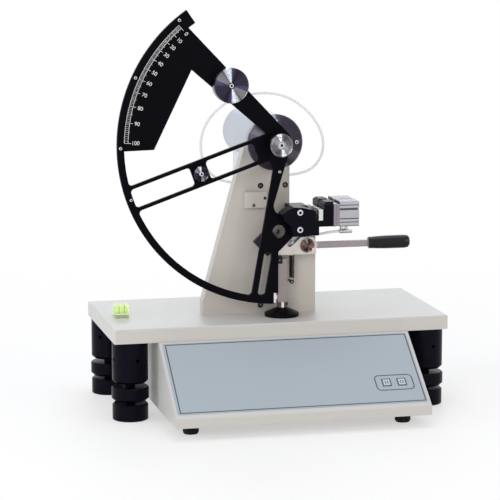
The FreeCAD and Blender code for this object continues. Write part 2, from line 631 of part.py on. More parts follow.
# Fixed clamp, bolted to the pillar's face, with the knife's guide pin on a lug under it
square = [(20.0, clamp_under), (step_x, clamp_under), (step_x, clamp_floor), (jaw_face_x, clamp_floor),
          (jaw_face_x, clamp_floor + 13.5), (45.0, clamp_floor + 17.5), (20.0, clamp_floor + 17.5)]
body, cover_plate, adapter_plate, air_cylinder, jaw = clamp_parts(fixed_y0, pillar_face, square, pillar_face)
lever_y1 = lever_y0 + lever_t
guide_x = 26.0
guide_z = lever_z + 20.0
guide_pin_r = 1.5
guide_half = 4.0
knife_y0 = pend_y1 + 0.6
blade_t = 0.6
carrier_y0 = lever_y1 + 0.5
carrier_t = 1.2
carrier_y1 = carrier_y0 + carrier_t
lug_y0 = carrier_y1 + 0.8
body = body.fuse(box(guide_x - guide_half, guide_x + guide_half, lug_y0, pillar_face, guide_z - guide_half,
                     clamp_under + 1))
body = body.fuse(rod_y(guide_pin_r, lever_y1 + run_gap, lug_y0 + 1, guide_x, guide_z)).removeSplitter()
save("fixed_clamp_body", body)
save("fixed_clamp_plates", cover_plate, adapter_plate)
save("fixed_clamp_cylinder", air_cylinder)
save("fixed_jaw_slide", jaw)

# Pendulum plate: rim, scale panel, arm, spoke frame, leg and web, cut from one sheet
disc = rod_y(rim_r, pend_y0, pend_y1, 0, pivot_z)
rim = disc.cut(rod_y(rim_r - rim_w, pend_y0 - 1, pend_y1 + 1, 0, pivot_z))
beyond = rim_r * 1.8           # well outside the rim
keep_rim = plate_xz([(rim_end_x, pivot_z), (rim_end_x, pivot_z - beyond), (-beyond, pivot_z - beyond),
                     polar(beyond, tip_angle), polar(0, 0)], pend_y0, pend_y1)
rim = rim.common(keep_rim)
arm_angle = 127.7
tip_in = polar(rim_r - 21.5, tip_angle)
arm_top = polar(rim_r - 21.2, arm_angle)
arm_low = polar(rim_r - 66.0, 139.2)
panel = plate_xz([polar(beyond, tip_angle), tip_in, arm_top, arm_low, polar(rim_r - 51.7, scale_end_angle),
                  polar(beyond, scale_end_angle), polar(beyond, 150)], pend_y0, pend_y1).common(disc)
reach = math.hypot(arm_top[0], arm_top[1] - pivot_z)
touch = arm_angle - math.degrees(math.acos(hub_plate_r / reach))
arm = plate_xz([arm_top, polar(hub_plate_r, touch), polar(0, 0), arm_low], pend_y0, pend_y1)
hub_plate = rod_y(hub_plate_r, pend_y0, pend_y1, 0, pivot_z)


def along_spoke(r0, r1, half, y0, y1):
    """A bar on the spoke's centre line, from one radius to another."""
    bar = box(r0, r1, y0, y1, pivot_z - half, pivot_z + half)
    bar.rotate(V(0, 0, pivot_z), V(0, 1, 0), -spoke_angle)
    return bar


spoke = along_spoke(0, rim_r - 3, spoke_half, pend_y0, pend_y1)
inner_half_h = spoke_half - bar_w
corner_r = 5.0
outer_window = along_spoke(pad_r1, rim_r + 10, inner_half_h, pend_y0 - 1, pend_y1 + 1)
outer_window = outer_window.common(rod_y(rim_r - rim_w, pend_y0 - 1, pend_y1 + 1, 0, pivot_z))
outer_window = rounded(outer_window, V(0, 1, 0), corner_r)
inner_window = along_spoke(window_r0, pad_r0, inner_half_h, pend_y0 - 1, pend_y1 + 1)
inner_window = rounded(inner_window, V(0, 1, 0), corner_r)
leg_end_z = pivot_z - rim_r + 0.8
web_cut_z = lever_z - 5.5
neck = (-4.5, clamp_floor + 23.5)
armpit = (-9.5, clamp_floor + 6.7)
leg = plate_xz([(-16.0, pivot_z - 10), (-6.0, pivot_z - 37), (-36.4, leg_end_z + 17), (-38.0, leg_end_z + 5),
                (rim_end_x, leg_end_z), (rim_end_x, leg_end_z + 14.5), (1.5, leg_end_z + 14.5),
                (1.5, web_cut_z), (22.0, web_z - 6), (24.0, web_z), (jaw_face_x, web_z),
                (jaw_face_x, clamp_floor + 14), (30.0, clamp_floor + 18), (18.0, clamp_floor + 19),
                (12.0, clamp_floor + 6.0), armpit, neck, (15.5, pivot_z - 16.6), (20.0, pivot_z - 6)],
               pend_y0, pend_y1)
leg = rounded(leg, V(0, 1, 0), 13.0, lambda p: math.hypot(p.x - armpit[0], p.z - armpit[1]) < 1)
pend = rim.multiFuse([panel, arm, hub_plate, spoke, leg]).removeSplitter()
rim_in = rim_r - rim_w
bar_meets = math.degrees(math.asin(spoke_half / rim_in))
inner_corners = [polar(rim_in, spoke_angle - bar_meets), polar(rim_in, spoke_angle + bar_meets)]
for corner in inner_corners:
    pend = rounded(pend, V(0, 1, 0), corner_r, lambda p: math.hypot(p.x - corner[0], p.z - corner[1]) < 1)
pend = rounded(pend, V(0, 1, 0), corner_r, lambda p: p.x < -24 and p.z < leg_end_z + 32
               and abs(math.hypot(p.x, p.z - pivot_z) - rim_in) < 0.5)
pend = pend.cut(outer_window).cut(inner_window)
leg_window_z0 = leg_end_z + 12.5
leg_window = plate_xz([(-18.6, web_cut_z), (-8.4, web_cut_z), (-8.4, web_cut_z - 9), (-17.6, leg_window_z0),
                       (-28.6, leg_window_z0)], pend_y0 - 1, pend_y1 + 1)
leg_window = rounded(leg_window, V(0, 1, 0), 4.2)
pend = pend.cut(leg_window)
sight_hole_r = 9.5
pend = pend.cut(rod_y(sight_hole_r, pend_y0 - 1, pend_y1 + 1, 2.4, web_z + 3.3))
pend = pend.cut(rod_y(shaft_r, pend_y0 - 1, pend_y1 + 1, 0, pivot_z))
for x, z in clamp_screw_places:
    pend = pend.cut(rod_y(2.5, pend_y0 - 1, pend_y1 - 1.0, x, z))

# Scale plate with its three screws, on the front of the panel
scale_t = 1.0
scale_y0 = pend_y0 - scale_t
scale_r = rim_r - 9.0
scale = rod_y(scale_r, scale_y0, pend_y0, 0, pivot_z)
scale_area = plate_xz([polar(beyond, 128.6), polar(rim_r - 41, 130.0), polar(rim_r - 59, 139.6),
                       polar(rim_r - 47.5, 179.4), polar(beyond, 180.4), polar(beyond, 150)],
                      scale_y0, pend_y0)
scale = scale.common(scale_area)
rim_screw_r = rim_r - 5.0
for turn in (128.7, 154.5, 180.3):
    x, z = polar(rim_screw_r, turn)
    pend = pend.cut(screw_hole(x, pend_y0, z, toward, 1.2, 3.5))
    pend_screws.append(socket_screw(x, pend_y0, z, toward, 2.2, 1.6, 1.2, 3.5))
save("scale_plate", scale)

# Hub, shaft and weights of the pendulum
hub_y0 = pend_y0 - hub_len
hub_screw_r = 4.0
hub_well_r = 5.4           # counterbore round the hub's screw
hub_step_r = 12.0          # fine groove in the hub's face
hub = turned([(shaft_r, 0), (hub_step_r - 0.5, 0), (hub_step_r - 0.5, 0.6), (hub_step_r, 0.6),
              (hub_step_r, 0), (hub_r - 1.2, 0), (hub_r, 1.2), (hub_r, hub_face_t), (shaft_r, hub_face_t)],
             V(0, hub_y0, pivot_z), V(0, 1, 0))
save("pivot_hub", hub)
boss_r = hub_r - 0.8
boss = rod_y(boss_r, hub_y0 + hub_face_t, pend_y0, 0, pivot_z)
save("hub_boss", boss.cut(rod_y(shaft_r, hub_y0, pend_y0 + 1, 0, pivot_z)))
shaft = rod_y(shaft_r, hub_y0, shaft_y1, 0, pivot_z)
collar_r = 12.0
shaft = shaft.fuse(rod_y(collar_r, pend_y1, flange_y0 - 0.5, 0, pivot_z)).removeSplitter()
hub_head_y = hub_y0 + 2.6
shaft = shaft.cut(rod_y(hub_well_r, hub_y0 - 1, hub_head_y, 0, pivot_z))
shaft = shaft.cut(screw_hole(0, hub_head_y, pivot_z, toward, 2.5, 10.0))
save("pivot_shaft", shaft)
pend_screws.append(socket_screw(0, hub_head_y, pivot_z, toward, hub_screw_r, 2.5, 2.5, 10.0))
weight_r = 24.5
weight_t = 15.0
weight_x, weight_z = polar(108.0, 129.6)
weight_well_r = 4.6
weight_well = 3.0          # depth of the counterbore for its screw
weight_y0 = pend_y0 - weight_t
weight = turned([(2.5, weight_well), (weight_well_r, weight_well), (weight_well_r, 0), (weight_r - 1.2, 0),
                 (weight_r, 1.2), (weight_r, weight_t), (2.5, weight_t)],
                V(weight_x, weight_y0, weight_z), V(0, 1, 0))
pend = pend.cut(rod_y(2.5, pend_y0 - 1, pend_y1 + 1, weight_x, weight_z))
pend_screws.append(socket_screw(weight_x, weight_y0 + weight_well, weight_z, toward, 3.4, 2.6, 2.5,
                                weight_t + 1.0))
trim_r = 10.6
trim_t = 6.0
trim_x, trim_z = polar((pad_r0 + pad_r1) / 2, spoke_angle)
trim = turned([(1.8, 0), (trim_r - 0.8, 0), (trim_r, 0.8), (trim_r, trim_t), (1.8, trim_t)],
              V(trim_x, pend_y0 - trim_t, trim_z), V(0, 1, 0))
save("counterweights", weight, trim)
pend = pend.cut(rod_y(1.8, pend_y0 - 1, pend_y1 + 1, trim_x, trim_z))
pend_screws.append(socket_screw(trim_x, pend_y0 - trim_t, trim_z, toward, 3.0, 2.0, 1.8, trim_t + 4.0))
leg_screw_drop = 40.0
for x, z in (polar(rim_r - 6.5, spoke_angle), (3.0, pivot_z - leg_screw_drop)):
    pend = pend.cut(screw_hole(x, pend_y0, z, toward, 1.2, 3.5))
    pend_screws.append(socket_screw(x, pend_y0, z, toward, 2.0, 1.4, 1.2, 3.5))
save("pendulum_plate", pend)
save("pendulum_screws", *pend_screws)

# Latch block behind the pendulum's web: a square housing set on its corner
latch_x = -6.2
latch_z = lever_z + 4.0
latch_side = 29.0
latch_y0 = pillar_face - 9.0
latch = box(latch_x - latch_side / 2, latch_x + latch_side / 2, latch_y0, pillar_face,
            latch_z - latch_side / 2, latch_z + latch_side / 2)
latch = rounded(latch, V(0, 1, 0), 1.5)
latch.rotate(V(latch_x, 0, latch_z), V(0, 1, 0), 47)
latch_screw_z = latch_z + 10.0
latch = latch.cut(screw_hole(latch_x, latch_y0, latch_screw_z, toward, 1.5, 6.0))
stand_screws.append(socket_screw(latch_x, latch_y0, latch_screw_z, toward, 2.75, 2.0, 1.5, 6.0))
cable_screw_x = 9.5
cable_screw_z = lever_z + 17.5
pillar = pillar.cut(screw_hole(cable_screw_x, pillar_face, cable_screw_z, toward, 1.5, 6.0))
stand_screws.append(socket_screw(cable_screw_x, pillar_face, cable_screw_z, toward, 3.0, 3.0, 1.5, 6.0))
save("latch_block", latch)

# Release post on its cone foot, with the rest block on top and the catch tooth in its side
neck_r = 6.5
post_z0 = deck + 20.0
post_x0 = post_x - post_w / 2
post_x1 = post_x + post_w / 2
post_y0 = post_y - post_d / 2
post_y1 = post_y + post_d / 2
cone = turned([(0, deck), (cone_r, deck), (cone_r, deck + 4.5), (neck_r + 2.5, deck + 11.5),
               (neck_r, deck + 12.5), (neck_r, post_z0), (0, post_z0)], V(post_x, post_y, 0), V(0, 0, 1))
save("post_foot", cone)
tooth_z0 = post_z0
tooth_h = 14.0
tooth_y0 = pend_y1 + 0.5
tooth_x0 = -4.2
tooth_travel = 3.5
shank_z0 = tooth_z0 + 4.0
shank_z1 = tooth_z0 + 10.0
shank_y0 = post_y - 2.0
shank_y1 = post_y + 2.0
rest_x1 = post_x0 + 6.5
rest_z0 = post_top - 7.0
rest_z1 = post_top + 4.0
rest_x0 = post_x0 - 2.2
rest_screw_z = (rest_z0 + rest_z1) / 2
post = box(post_x0, post_x1, post_y0, post_y1, post_z0, post_top)
post = post.cut(box(post_x0 - 1, rest_x1, post_y0 - 1, post_y1 + 1, rest_z0, post_top + 1))
post = post.cut(box(post_x0 - 1, post_x1 + 1, shank_y0 - run_gap, shank_y1 + run_gap,
                    shank_z0 - run_gap, shank_z1 + run_gap))
save("release_post", post)
rest_block = box(rest_x0, rest_x1, post_y0, post_y1, rest_z0, rest_z1)
rest_block = rounded(rest_block, V(0, 1, 0), 1.0)
rest_screw_x = (rest_x0 + rest_x1) / 2
rest_block = rest_block.cut(screw_hole(rest_screw_x, post_y0, rest_screw_z, toward, 1.2, 5.0))
stand_screws.append(socket_screw(rest_screw_x, post_y0, rest_screw_z, toward, 2.4, 1.2, 1.2, 5.0))
save("lever_rest_block", rest_block)
tooth = box(tooth_x0, post_x0 - tooth_travel - run_gap, tooth_y0, shank_y1, tooth_z0, tooth_z0 + tooth_h)
tooth = tooth.fuse(box(tooth_x0 + 1, post_x1 + 0.5, shank_y0, shank_y1, shank_z0, shank_z1)).removeSplitter()
save("catch_tooth", tooth)

# Knife lever: plate with a cam slot, its bar, grip, pivot bolt and the boss behind it
lever_mid = (lever_y0 + lever_y1) / 2
lever_left = lever_x - 44.5
lever_right = lever_x + 13.5
lever_under = lever_z - 12.4
lever = plate_xz([(lever_left, lever_under), (lever_right, lever_under), (lever_right - 3, lever_z + 10.5),
                  (lever_x - 13, lever_z + 12.3), (lever_x - 23.8, lever_z + 13.1),
                  (lever_left, lever_z - 7.5)], lever_y0, lever_y1)
lever = rounded(lever, V(0, 1, 0), 1.5)
cam_x = lever_x - 25.5
cam_z = lever_z + 2.5
cam_half = 3.75
cam_turn = 42.0
cam = rod_y(cam_half, lever_y0 - 1, lever_y1 + 1, cam_x, cam_z)
cam_slot = box(cam_x, cam_x + 30, lever_y0 - 1, lever_y1 + 1, cam_z - cam_half, cam_z + cam_half)
cam_slot.rotate(V(cam_x, 0, cam_z), V(0, 1, 0), -cam_turn)
lever = lever.cut(cam).cut(cam_slot)
lever_bore_r = 5.0
lever = lever.cut(rod_y(lever_bore_r + 0.05, lever_y0 - 1, lever_y1 + 1, lever_x, lever_z))
bar_z0 = lever_z - bar_h / 2
bar_z1 = lever_z + bar_h / 2
bar = box(lever_x + 9, grip_x0 + 20, lever_mid - 3.0, lever_mid + 3.0, bar_z0, bar_z1)
bar = bar.makeFillet(1.0, edges_along(bar, V(1, 0, 0), lambda p: True))
lever = lever.fuse(bar).removeSplitter()
spring_x = 27.1
spring_y = lever_y1 + 5.3
hook_z = lever_z - 9.5
hook_pin_r = 1.5
hook_run = spring_y + 2.3 - lever_y0
hook_pin = turned([(0, -1.0), (hook_pin_r, -1.0), (hook_pin_r, hook_run - 1.4), (2.6, hook_run - 1.4),
                   (2.6, hook_run - 0.6), (0, hook_run)], V(spring_x, lever_y0, hook_z), V(0, 1, 0))
hook_head = turned([(0, -0.8), (2.2, -0.8), (2.2, 0.1), (0, 0.1)], V(spring_x, lever_y0, hook_z), V(0, 1, 0))
lever = lever.multiFuse([hook_pin, hook_head])
save("knife_lever_arm", lever)
grip = turned([(0, 0), (grip_r - 0.8, 0), (grip_r, 0.8), (grip_r, 4.0), (grip_r + 0.6, 12.0),
               (grip_r + 1.1, 26.0), (grip_r + 1.2, grip_len - 8), (grip_r + 0.6, grip_len - 3),
               (grip_r - 1.2, grip_len - 0.8), (grip_r - 4.0, grip_len), (0, grip_len)],
              V(grip_x0, lever_mid, lever_z + 0.4), V(1, 0, 0))
grip = grip.cut(box(grip_x0 - 1, grip_x0 + 20, lever_mid - 3.0, lever_mid + 3.0, bar_z0, bar_z1))
save("lever_grip", grip)
bolt_head_r = 10.3
bolt_head_t = 4.0
bolt = turned([(0, 0), (bolt_head_r, 0), (bolt_head_r, 1.5), (bolt_head_r - 2.0, 3.2),
               (bolt_head_r - 6, bolt_head_t), (0, bolt_head_t)],
              V(lever_x, lever_y0 - 0.2, lever_z), V(0, -1, 0))
bolt_depth = 8.0
bolt_y1 = pillar_face + bolt_depth
bolt = bolt.fuse(rod_y(lever_bore_r, lever_y0 - 0.2, bolt_y1, lever_x, lever_z)).removeSplitter()
pillar = pillar.cut(rod_y(lever_bore_r, pillar_face - 1, bolt_y1, lever_x, lever_z))
boss = rod_y(8.0, lever_y1 + 0.2, pillar_face, lever_x, lever_z)
boss = boss.cut(rod_y(lever_bore_r, lever_y1 - 1, pillar_face + 1, lever_x, lever_z))
save("lever_pivot", bolt, boss)
anchor_z = lever_z - 53.2
anchor_len = pillar_face - spring_y
anchor_depth = 6.0
stand_screws.append(turned([(0, -anchor_len - anchor_depth), (hook_pin_r, -anchor_len - anchor_depth),
                            (hook_pin_r, 1.4), (2.8, 1.4), (2.8, 2.4), (0, 2.8)],
                           V(spring_x, spring_y, anchor_z), toward))
pillar = pillar.cut(rod_y(hook_pin_r, pillar_face - 1, pillar_face + anchor_depth, spring_x, anchor_z))
save("rear_column", column)
save("stand_screws", *stand_screws)

# Return spring: a close-wound coil with a round loop at each end
spring_r = 4.0
spring_bore_r = 2.5
spring_wire = 0.75
coil_z0 = anchor_z + 6.0
coil_z1 = hook_z - 6.0
loop_r = 3.05
loop_play = loop_r - spring_wire - hook_pin_r - 0.1
coil = rod_z(spring_r, coil_z0, coil_z1, spring_x, spring_y)
coil = coil.cut(rod_z(spring_bore_r, coil_z0 + 1, coil_z1 - 1, spring_x, spring_y))
low_loop_z = anchor_z + loop_play
high_loop_z = hook_z - loop_play
wires = [rod_z(spring_wire, low_loop_z + loop_r, coil_z0 + 0.5, spring_x, spring_y),
         rod_z(spring_wire, coil_z1 - 0.5, high_loop_z - loop_r, spring_x, spring_y)]
for z in (low_loop_z, high_loop_z):
    wires.append(Part.makeTorus(loop_r, spring_wire, V(spring_x, spring_y, z), V(0, 1, 0)))
save("return_spring", coil.multiFuse(wires))

# Knife: a thin blade on a cranked carrier. The carrier slides behind the lever on the guide pin, and its
# arm reaches forward over the lever to hold the blade between the two clamps.
knife_pin_x = lever_x - 22.0
knife_pin_z = lever_z + 5.0
pin_r = 2.5
carrier_x0 = knife_pin_x - 5.0
carrier_step_x = knife_pin_x + 10.5
carrier_z0 = lever_z + 0.5
arm_z0 = lever_z + 14.5
arm_z1 = lever_z + 22.5
blade_x0 = jaw_face_x - 0.5
blade_x1 = jaw_face_x + 6.5
blade_y1 = knife_y0 + blade_t
carrier = plate_xz([(carrier_x0, carrier_z0), (carrier_step_x, carrier_z0), (carrier_step_x, arm_z0),
                    (blade_x1, arm_z0), (blade_x1, arm_z1), (carrier_x0, arm_z1)], carrier_y0, carrier_y1)
carrier = carrier.fuse(box(blade_x0, blade_x1, blade_y1, carrier_y1, arm_z0, arm_z0 + 4.0))
slot_half = guide_pin_r + run_gap
slot_low = guide_z - knife_rise - run_gap
slot_high = guide_z + run_gap
slot_y0 = carrier_y0 - 1
slot_y1 = carrier_y1 + 1
carrier = carrier.cut(box(guide_x - slot_half, guide_x + slot_half, slot_y0, slot_y1, slot_low, slot_high))
for z in (slot_low, slot_high):
    carrier = carrier.cut(rod_y(slot_half, slot_y0, slot_y1, guide_x, z))
carrier = carrier.fuse(rod_y(pin_r, lever_y0 - 0.2, carrier_y1, knife_pin_x, knife_pin_z)).removeSplitter()
save("knife_carrier", carrier)
blade = plate_xz([(blade_x0, arm_z0), (blade_x1, arm_z0), (blade_x1, clamp_floor - 4.0),
                  (blade_x0, clamp_floor - 9.5)], knife_y0, blade_y1)
save("knife_blade", blade)

# Air hoses: straight runs joined by tangent arcs
hose_r = 2.0
loop_y = front + 145.0
fitting_len = 12.0
left_port_z = pivot_z - 66.7
right_port_z = pivot_z - 58.7
left_end = (-column_half - fitting_len, 0, left_port_z - pivot_z)
right_end = (column_half + fitting_len, 0, right_port_z - pivot_z)
round_barrel = [left_end, (-60, 0, -65.7), (-84, -3, -41.7), (-90, -5, -6.7), (-78, -4, 26.3), (-45, 0, 53.3),
                (0, 4, 62.3), (42, 5, 56.3), (78, 4, 29.3), (97, 2, -5.7), (92, 0, -37.7), (68, 0, -57.7),
                right_end]
loop_route = [(x, loop_y + dy, pivot_z + dz) for x, dy, dz in round_barrel]
cyl_x0 = block_x1 + cover_t + adapter_t
fixed_mid = (fixed_y0 + pillar_face) / 2
elbow_z = clamp_top - cylinder_h - 13.5
elbow_x0 = cyl_x0 + 13.0
under_clamp = [(0, 0, 0), (-13.7, 0.4, -1.1), (-27.7, 1.5, -3.5), (-40.7, 4.0, -5.3), (-50.7, 9.0, -5.9),
               (-57.7, 18.0, -6.3)]
clamp_route = [(elbow_x0 + dx, fixed_mid + dy, elbow_z + dz) for dx, dy, dz in under_clamp]


def hose(points, radius):
    """A round hose along its route, with the largest arcs that the runs leave room for."""
    pts = [V(*p) for p in points]
    edges = []
    start = pts[0]
    smallest = 1e9
    for before, here, after in zip(pts, pts[1:], pts[2:]):
        u = (here - before).normalize()
        w = (after - here).normalize()
        turn = math.acos(max(-1.0, min(1.0, u.dot(w))))
        if turn < 0.01:
            continue
        shorter = min((here - before).Length, (after - here).Length)
        cut_back = 0.45 * shorter
        arc_r = cut_back / math.tan(turn / 2)
        smallest = min(smallest, arc_r)
        a = here - u * cut_back
        b = here + w * cut_back
        middle = (w - u).normalize()
        top = here + middle * (arc_r / math.cos(turn / 2) - arc_r)
        edges.append(Part.LineSegment(start, a).toShape())
        edges.append(Part.Arc(a, top, b).toShape())
        start = b
    edges.append(Part.LineSegment(start, pts[-1]).toShape())
    path = Part.Wire(edges)
    length = sum(e.Length for e in edges)
    first = (pts[1] - pts[0]).normalize()
    ring = Part.Wire(Part.makeCircle(radius, pts[0], first))
    tube = path.makePipeShell([ring], True, False)
    print("hose length %.1f, smallest arc radius %.1f, volume %.0f of %.0f"
          % (length, smallest, tube.Volume, math.pi * radius * radius * length))
    return tube


save("loop_hose", hose(loop_route, hose_r))
clamp_hose = hose(clamp_route, hose_r)
save("clamp_hose", clamp_hose)
save("pillar_plate", pillar.cut(clamp_hose))

# Fittings: the elbow under the fixed clamp's air cylinder and the two ports of the column
cylinder_z0 = clamp_top - cylinder_h
elbow_x1 = elbow_x0 + 18.0
elbow = rod_x(3.4, elbow_x0, elbow_x1, fixed_mid, elbow_z)
for x in (elbow_x0 + 3.0, elbow_x0 + 10.0):
    elbow = elbow.fuse(rod_z(2.4, elbow_z, cylinder_z0, x, fixed_mid))
    elbow = elbow.fuse(rod_z(3.2, cylinder_z0 - 4.5, cylinder_z0, x, fixed_mid))
side_fittings = [elbow]
for side, port_z in ((-1, left_port_z), (1, right_port_z)):
    port = V(side * column_half, loop_y, port_z)
    side_fittings.append(turned([(0, 0), (5.0, 0), (5.0, 4.0), (4.0, 5.0), (4.0, fitting_len - 1),
                                 (3.2, fitting_len), (0, fitting_len)], port, V(side, 0, 0)))
save("hose_fittings", *side_fittings)
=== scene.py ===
import math

import bmesh
import bpy
from mathutils import Euler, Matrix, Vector


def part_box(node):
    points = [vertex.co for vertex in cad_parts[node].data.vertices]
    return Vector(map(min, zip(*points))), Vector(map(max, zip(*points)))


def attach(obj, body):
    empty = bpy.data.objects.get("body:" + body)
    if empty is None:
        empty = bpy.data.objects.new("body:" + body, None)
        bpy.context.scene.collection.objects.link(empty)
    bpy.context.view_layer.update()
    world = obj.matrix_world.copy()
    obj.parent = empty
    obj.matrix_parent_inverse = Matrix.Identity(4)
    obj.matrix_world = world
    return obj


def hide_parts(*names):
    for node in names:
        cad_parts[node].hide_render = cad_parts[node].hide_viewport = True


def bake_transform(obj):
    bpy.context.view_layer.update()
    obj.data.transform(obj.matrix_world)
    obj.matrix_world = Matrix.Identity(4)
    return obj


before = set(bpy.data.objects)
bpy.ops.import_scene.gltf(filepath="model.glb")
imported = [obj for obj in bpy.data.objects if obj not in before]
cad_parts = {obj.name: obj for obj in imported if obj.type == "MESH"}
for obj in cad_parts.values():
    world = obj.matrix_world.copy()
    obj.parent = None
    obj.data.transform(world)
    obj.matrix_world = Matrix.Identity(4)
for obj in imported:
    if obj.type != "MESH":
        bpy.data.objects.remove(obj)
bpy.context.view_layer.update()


# The camera: a long lens a little above the base plate and to the left of the machine. Its place and turns
# were fitted to the plate's corners, the pillar's uprights and the rim's arc as the photograph shows them.
camera_place = (-0.7665, -3.0570, 0.7414)
camera_turn = math.radians(13.43)
camera_dip = math.radians(9.3)
lens_length = 163.06
camera_data = bpy.data.cameras.new("camera")
camera_data.lens = lens_length
camera = bpy.data.objects.new("camera", camera_data)
camera.location = camera_place
camera.rotation_euler = Euler((math.pi / 2 - camera_dip, 0, -camera_turn))
bpy.context.scene.collection.objects.link(camera)
bpy.context.scene.camera = camera
bpy.context.scene.view_settings.view_transform = "Standard"


# The studio lights: a large warm softbox in front on the left, a weaker one on the right and one behind.
# Two cool ones, overhead and square to the left side, keep the machine's top and side bluer than its front.
machine_middle = Vector((0.0, 0.0, 0.3))


def softbox(name, place, width, height, power, colour):
    data = bpy.data.lights.new(name, "AREA")
    data.shape = "RECTANGLE"
    data.size = width
    data.size_y = height
    data.energy = power
    data.color = colour
    lamp = bpy.data.objects.new(name, data)
    lamp.location = place
    lamp.rotation_euler = (machine_middle - Vector(place)).to_track_quat("-Z", "Y").to_euler()
    bpy.context.scene.collection.objects.link(lamp)


softbox("left_softbox", (-1.5, -2.3, 1.2), 1.1, 1.1, 19, (1.0, 0.945, 0.885))
softbox("right_softbox", (1.5, -2.0, 1.0), 0.5, 1.4, 6, (1.0, 0.955, 0.9))
softbox("top_softbox", (0.1, 0.2, 2.3), 1.8, 1.4, 15, (0.62, 0.79, 1.0))
softbox("back_softbox", (0.6, 2.2, 1.4), 1.6, 1.0, 10, (0.97, 0.98, 1.0))
softbox("side_softbox", (-2.6, -0.2, 1.0), 0.9, 1.2, 17, (0.72, 0.85, 1.0))


# The floor: a seamless sheet of white paper, laid under the machine and run out far behind it, which keeps
# a soft shadow. It has the first finish of the file, so what every finish is worked out with stands here.
class Wire:
    """A shader socket, on which sums and products add the nodes that work them out."""

    def __init__(self, tree, socket):
        self.tree = tree
        self.socket = socket

    def node(self, kind, settings=None, sockets=None, out=0):
        new = self.tree.nodes.new(kind)
        for key, value in (settings or {}).items():
            if key == "stops":
                band = new.color_ramp.elements
                band[0].position = value[0][0]
                band[1].position = value[-1][0]
                for position, grey in value[1:-1]:
                    band.new(position)
                for element, (position, grey) in zip(band, value):
                    element.color = (grey, grey, grey, 1.0)
            else:
                setattr(new, key, value)
        self.plug(new, sockets or {})
        return Wire(self.tree, new.outputs[out])

    def plug(self, node, sockets):
        for key, value in sockets.items():
            if isinstance(value, Wire):
                self.tree.links.new(value.socket, node.inputs[key])
            else:
                node.inputs[key].default_value = value

    def maths(self, operation, *values):
        if any(isinstance(v, Wire) and v.socket.type in ("VECTOR", "RGBA") for v in values):
            values = [v if isinstance(v, Wire) else (v, v, v) for v in values]
            return self.node("ShaderNodeVectorMath", {"operation": operation}, dict(enumerate(values)))
        return self.node("ShaderNodeMath", {"operation": operation}, dict(enumerate(values)))

    def __add__(self, other):
        return self.maths("ADD", self, other)

    def __radd__(self, other):
        return self.maths("ADD", other, self)

    def __sub__(self, other):
        return self.maths("SUBTRACT", self, other)

    def __rsub__(self, other):
        return self.maths("SUBTRACT", other, self)

    def __mul__(self, other):
        return self.maths("MULTIPLY", self, other)

    def __rmul__(self, other):
        return self.maths("MULTIPLY", other, self)

    def __truediv__(self, other):
        return self.maths("DIVIDE", self, other)

    def __lt__(self, other):
        return self.maths("LESS_THAN", self, other)

    def __gt__(self, other):
        return self.maths("GREATER_THAN", self, other)

    def __abs__(self):
        return self.maths("ABSOLUTE", self)

    def least(self, other):
        return self.maths("MINIMUM", self, other)

    def most(self, other):
        return self.maths("MAXIMUM", self, other)

    def distance(self, other):
        """How far a place is from the middle, from its offsets one way and square to it."""
        return self.maths("SQRT", self * self + other * other)

    def along(self, axis):
        return self.node("ShaderNodeSeparateXYZ", {}, {0: self}, out="XYZ".index(axis))

    def noise(self, scale, detail=2.0):
        return self.node("ShaderNodeTexNoise", {}, {"Vector": self, "Scale": scale, "Detail": detail})

    def tool_marks(self, scale, detail=2.0):
        """Noise that changes along one length only, as the marks of a lathe tool do."""
        return self.node("ShaderNodeTexNoise", {"noise_dimensions": "1D"},
                         {"W": self, "Scale": scale, "Detail": detail})

    def mix(self, low, high):
        """A colour between low, where this wire is 0, and high, where it is 1."""
        return self.node("ShaderNodeMix", {"data_type": "RGBA"}, {0: self, 6: low, 7: high}, out=2)

    def bump(self, depth, strength):
        return self.node("ShaderNodeBump", {}, {"Height": self, "Distance": depth, "Strength": strength})

    def surface(self, sockets):
        self.plug(self.tree.nodes["Principled BSDF"], sockets)


def tint(red, green, blue):
    """A colour given as it looks on a screen, 0 to 255, made linear for the shader."""
    steps = [c / 255 for c in (red, green, blue)]
    return tuple(s / 12.92 if s < 0.04045 else ((s + 0.055) / 1.055) ** 2.4 for s in steps) + (1.0,)


def finish(name, *pieces):
    """A new material on these CAD nodes or pieces, and the wire of its place on the machine, in metres."""
    material = bpy.data.materials.new(name)
    material.use_nodes = True
    for piece in pieces:
        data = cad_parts[piece].data if isinstance(piece, str) else piece.data
        data.materials.clear()
        data.materials.append(material)
    tree = material.node_tree
    return Wire(tree, tree.nodes.new("ShaderNodeTexCoord").outputs["Object"])


def seen_ray(wire):
    """1 for a ray from the camera, straight or by way of metal or glass, and 0 for any other."""
    rays = wire.node("ShaderNodeLightPath").socket.node.outputs
    straight, mirrored, through = [Wire(wire.tree, rays["Is %s Ray" % kind])
                                   for kind in ("Camera", "Glossy", "Transmission")]
    return straight.most(mirrored).most(through)


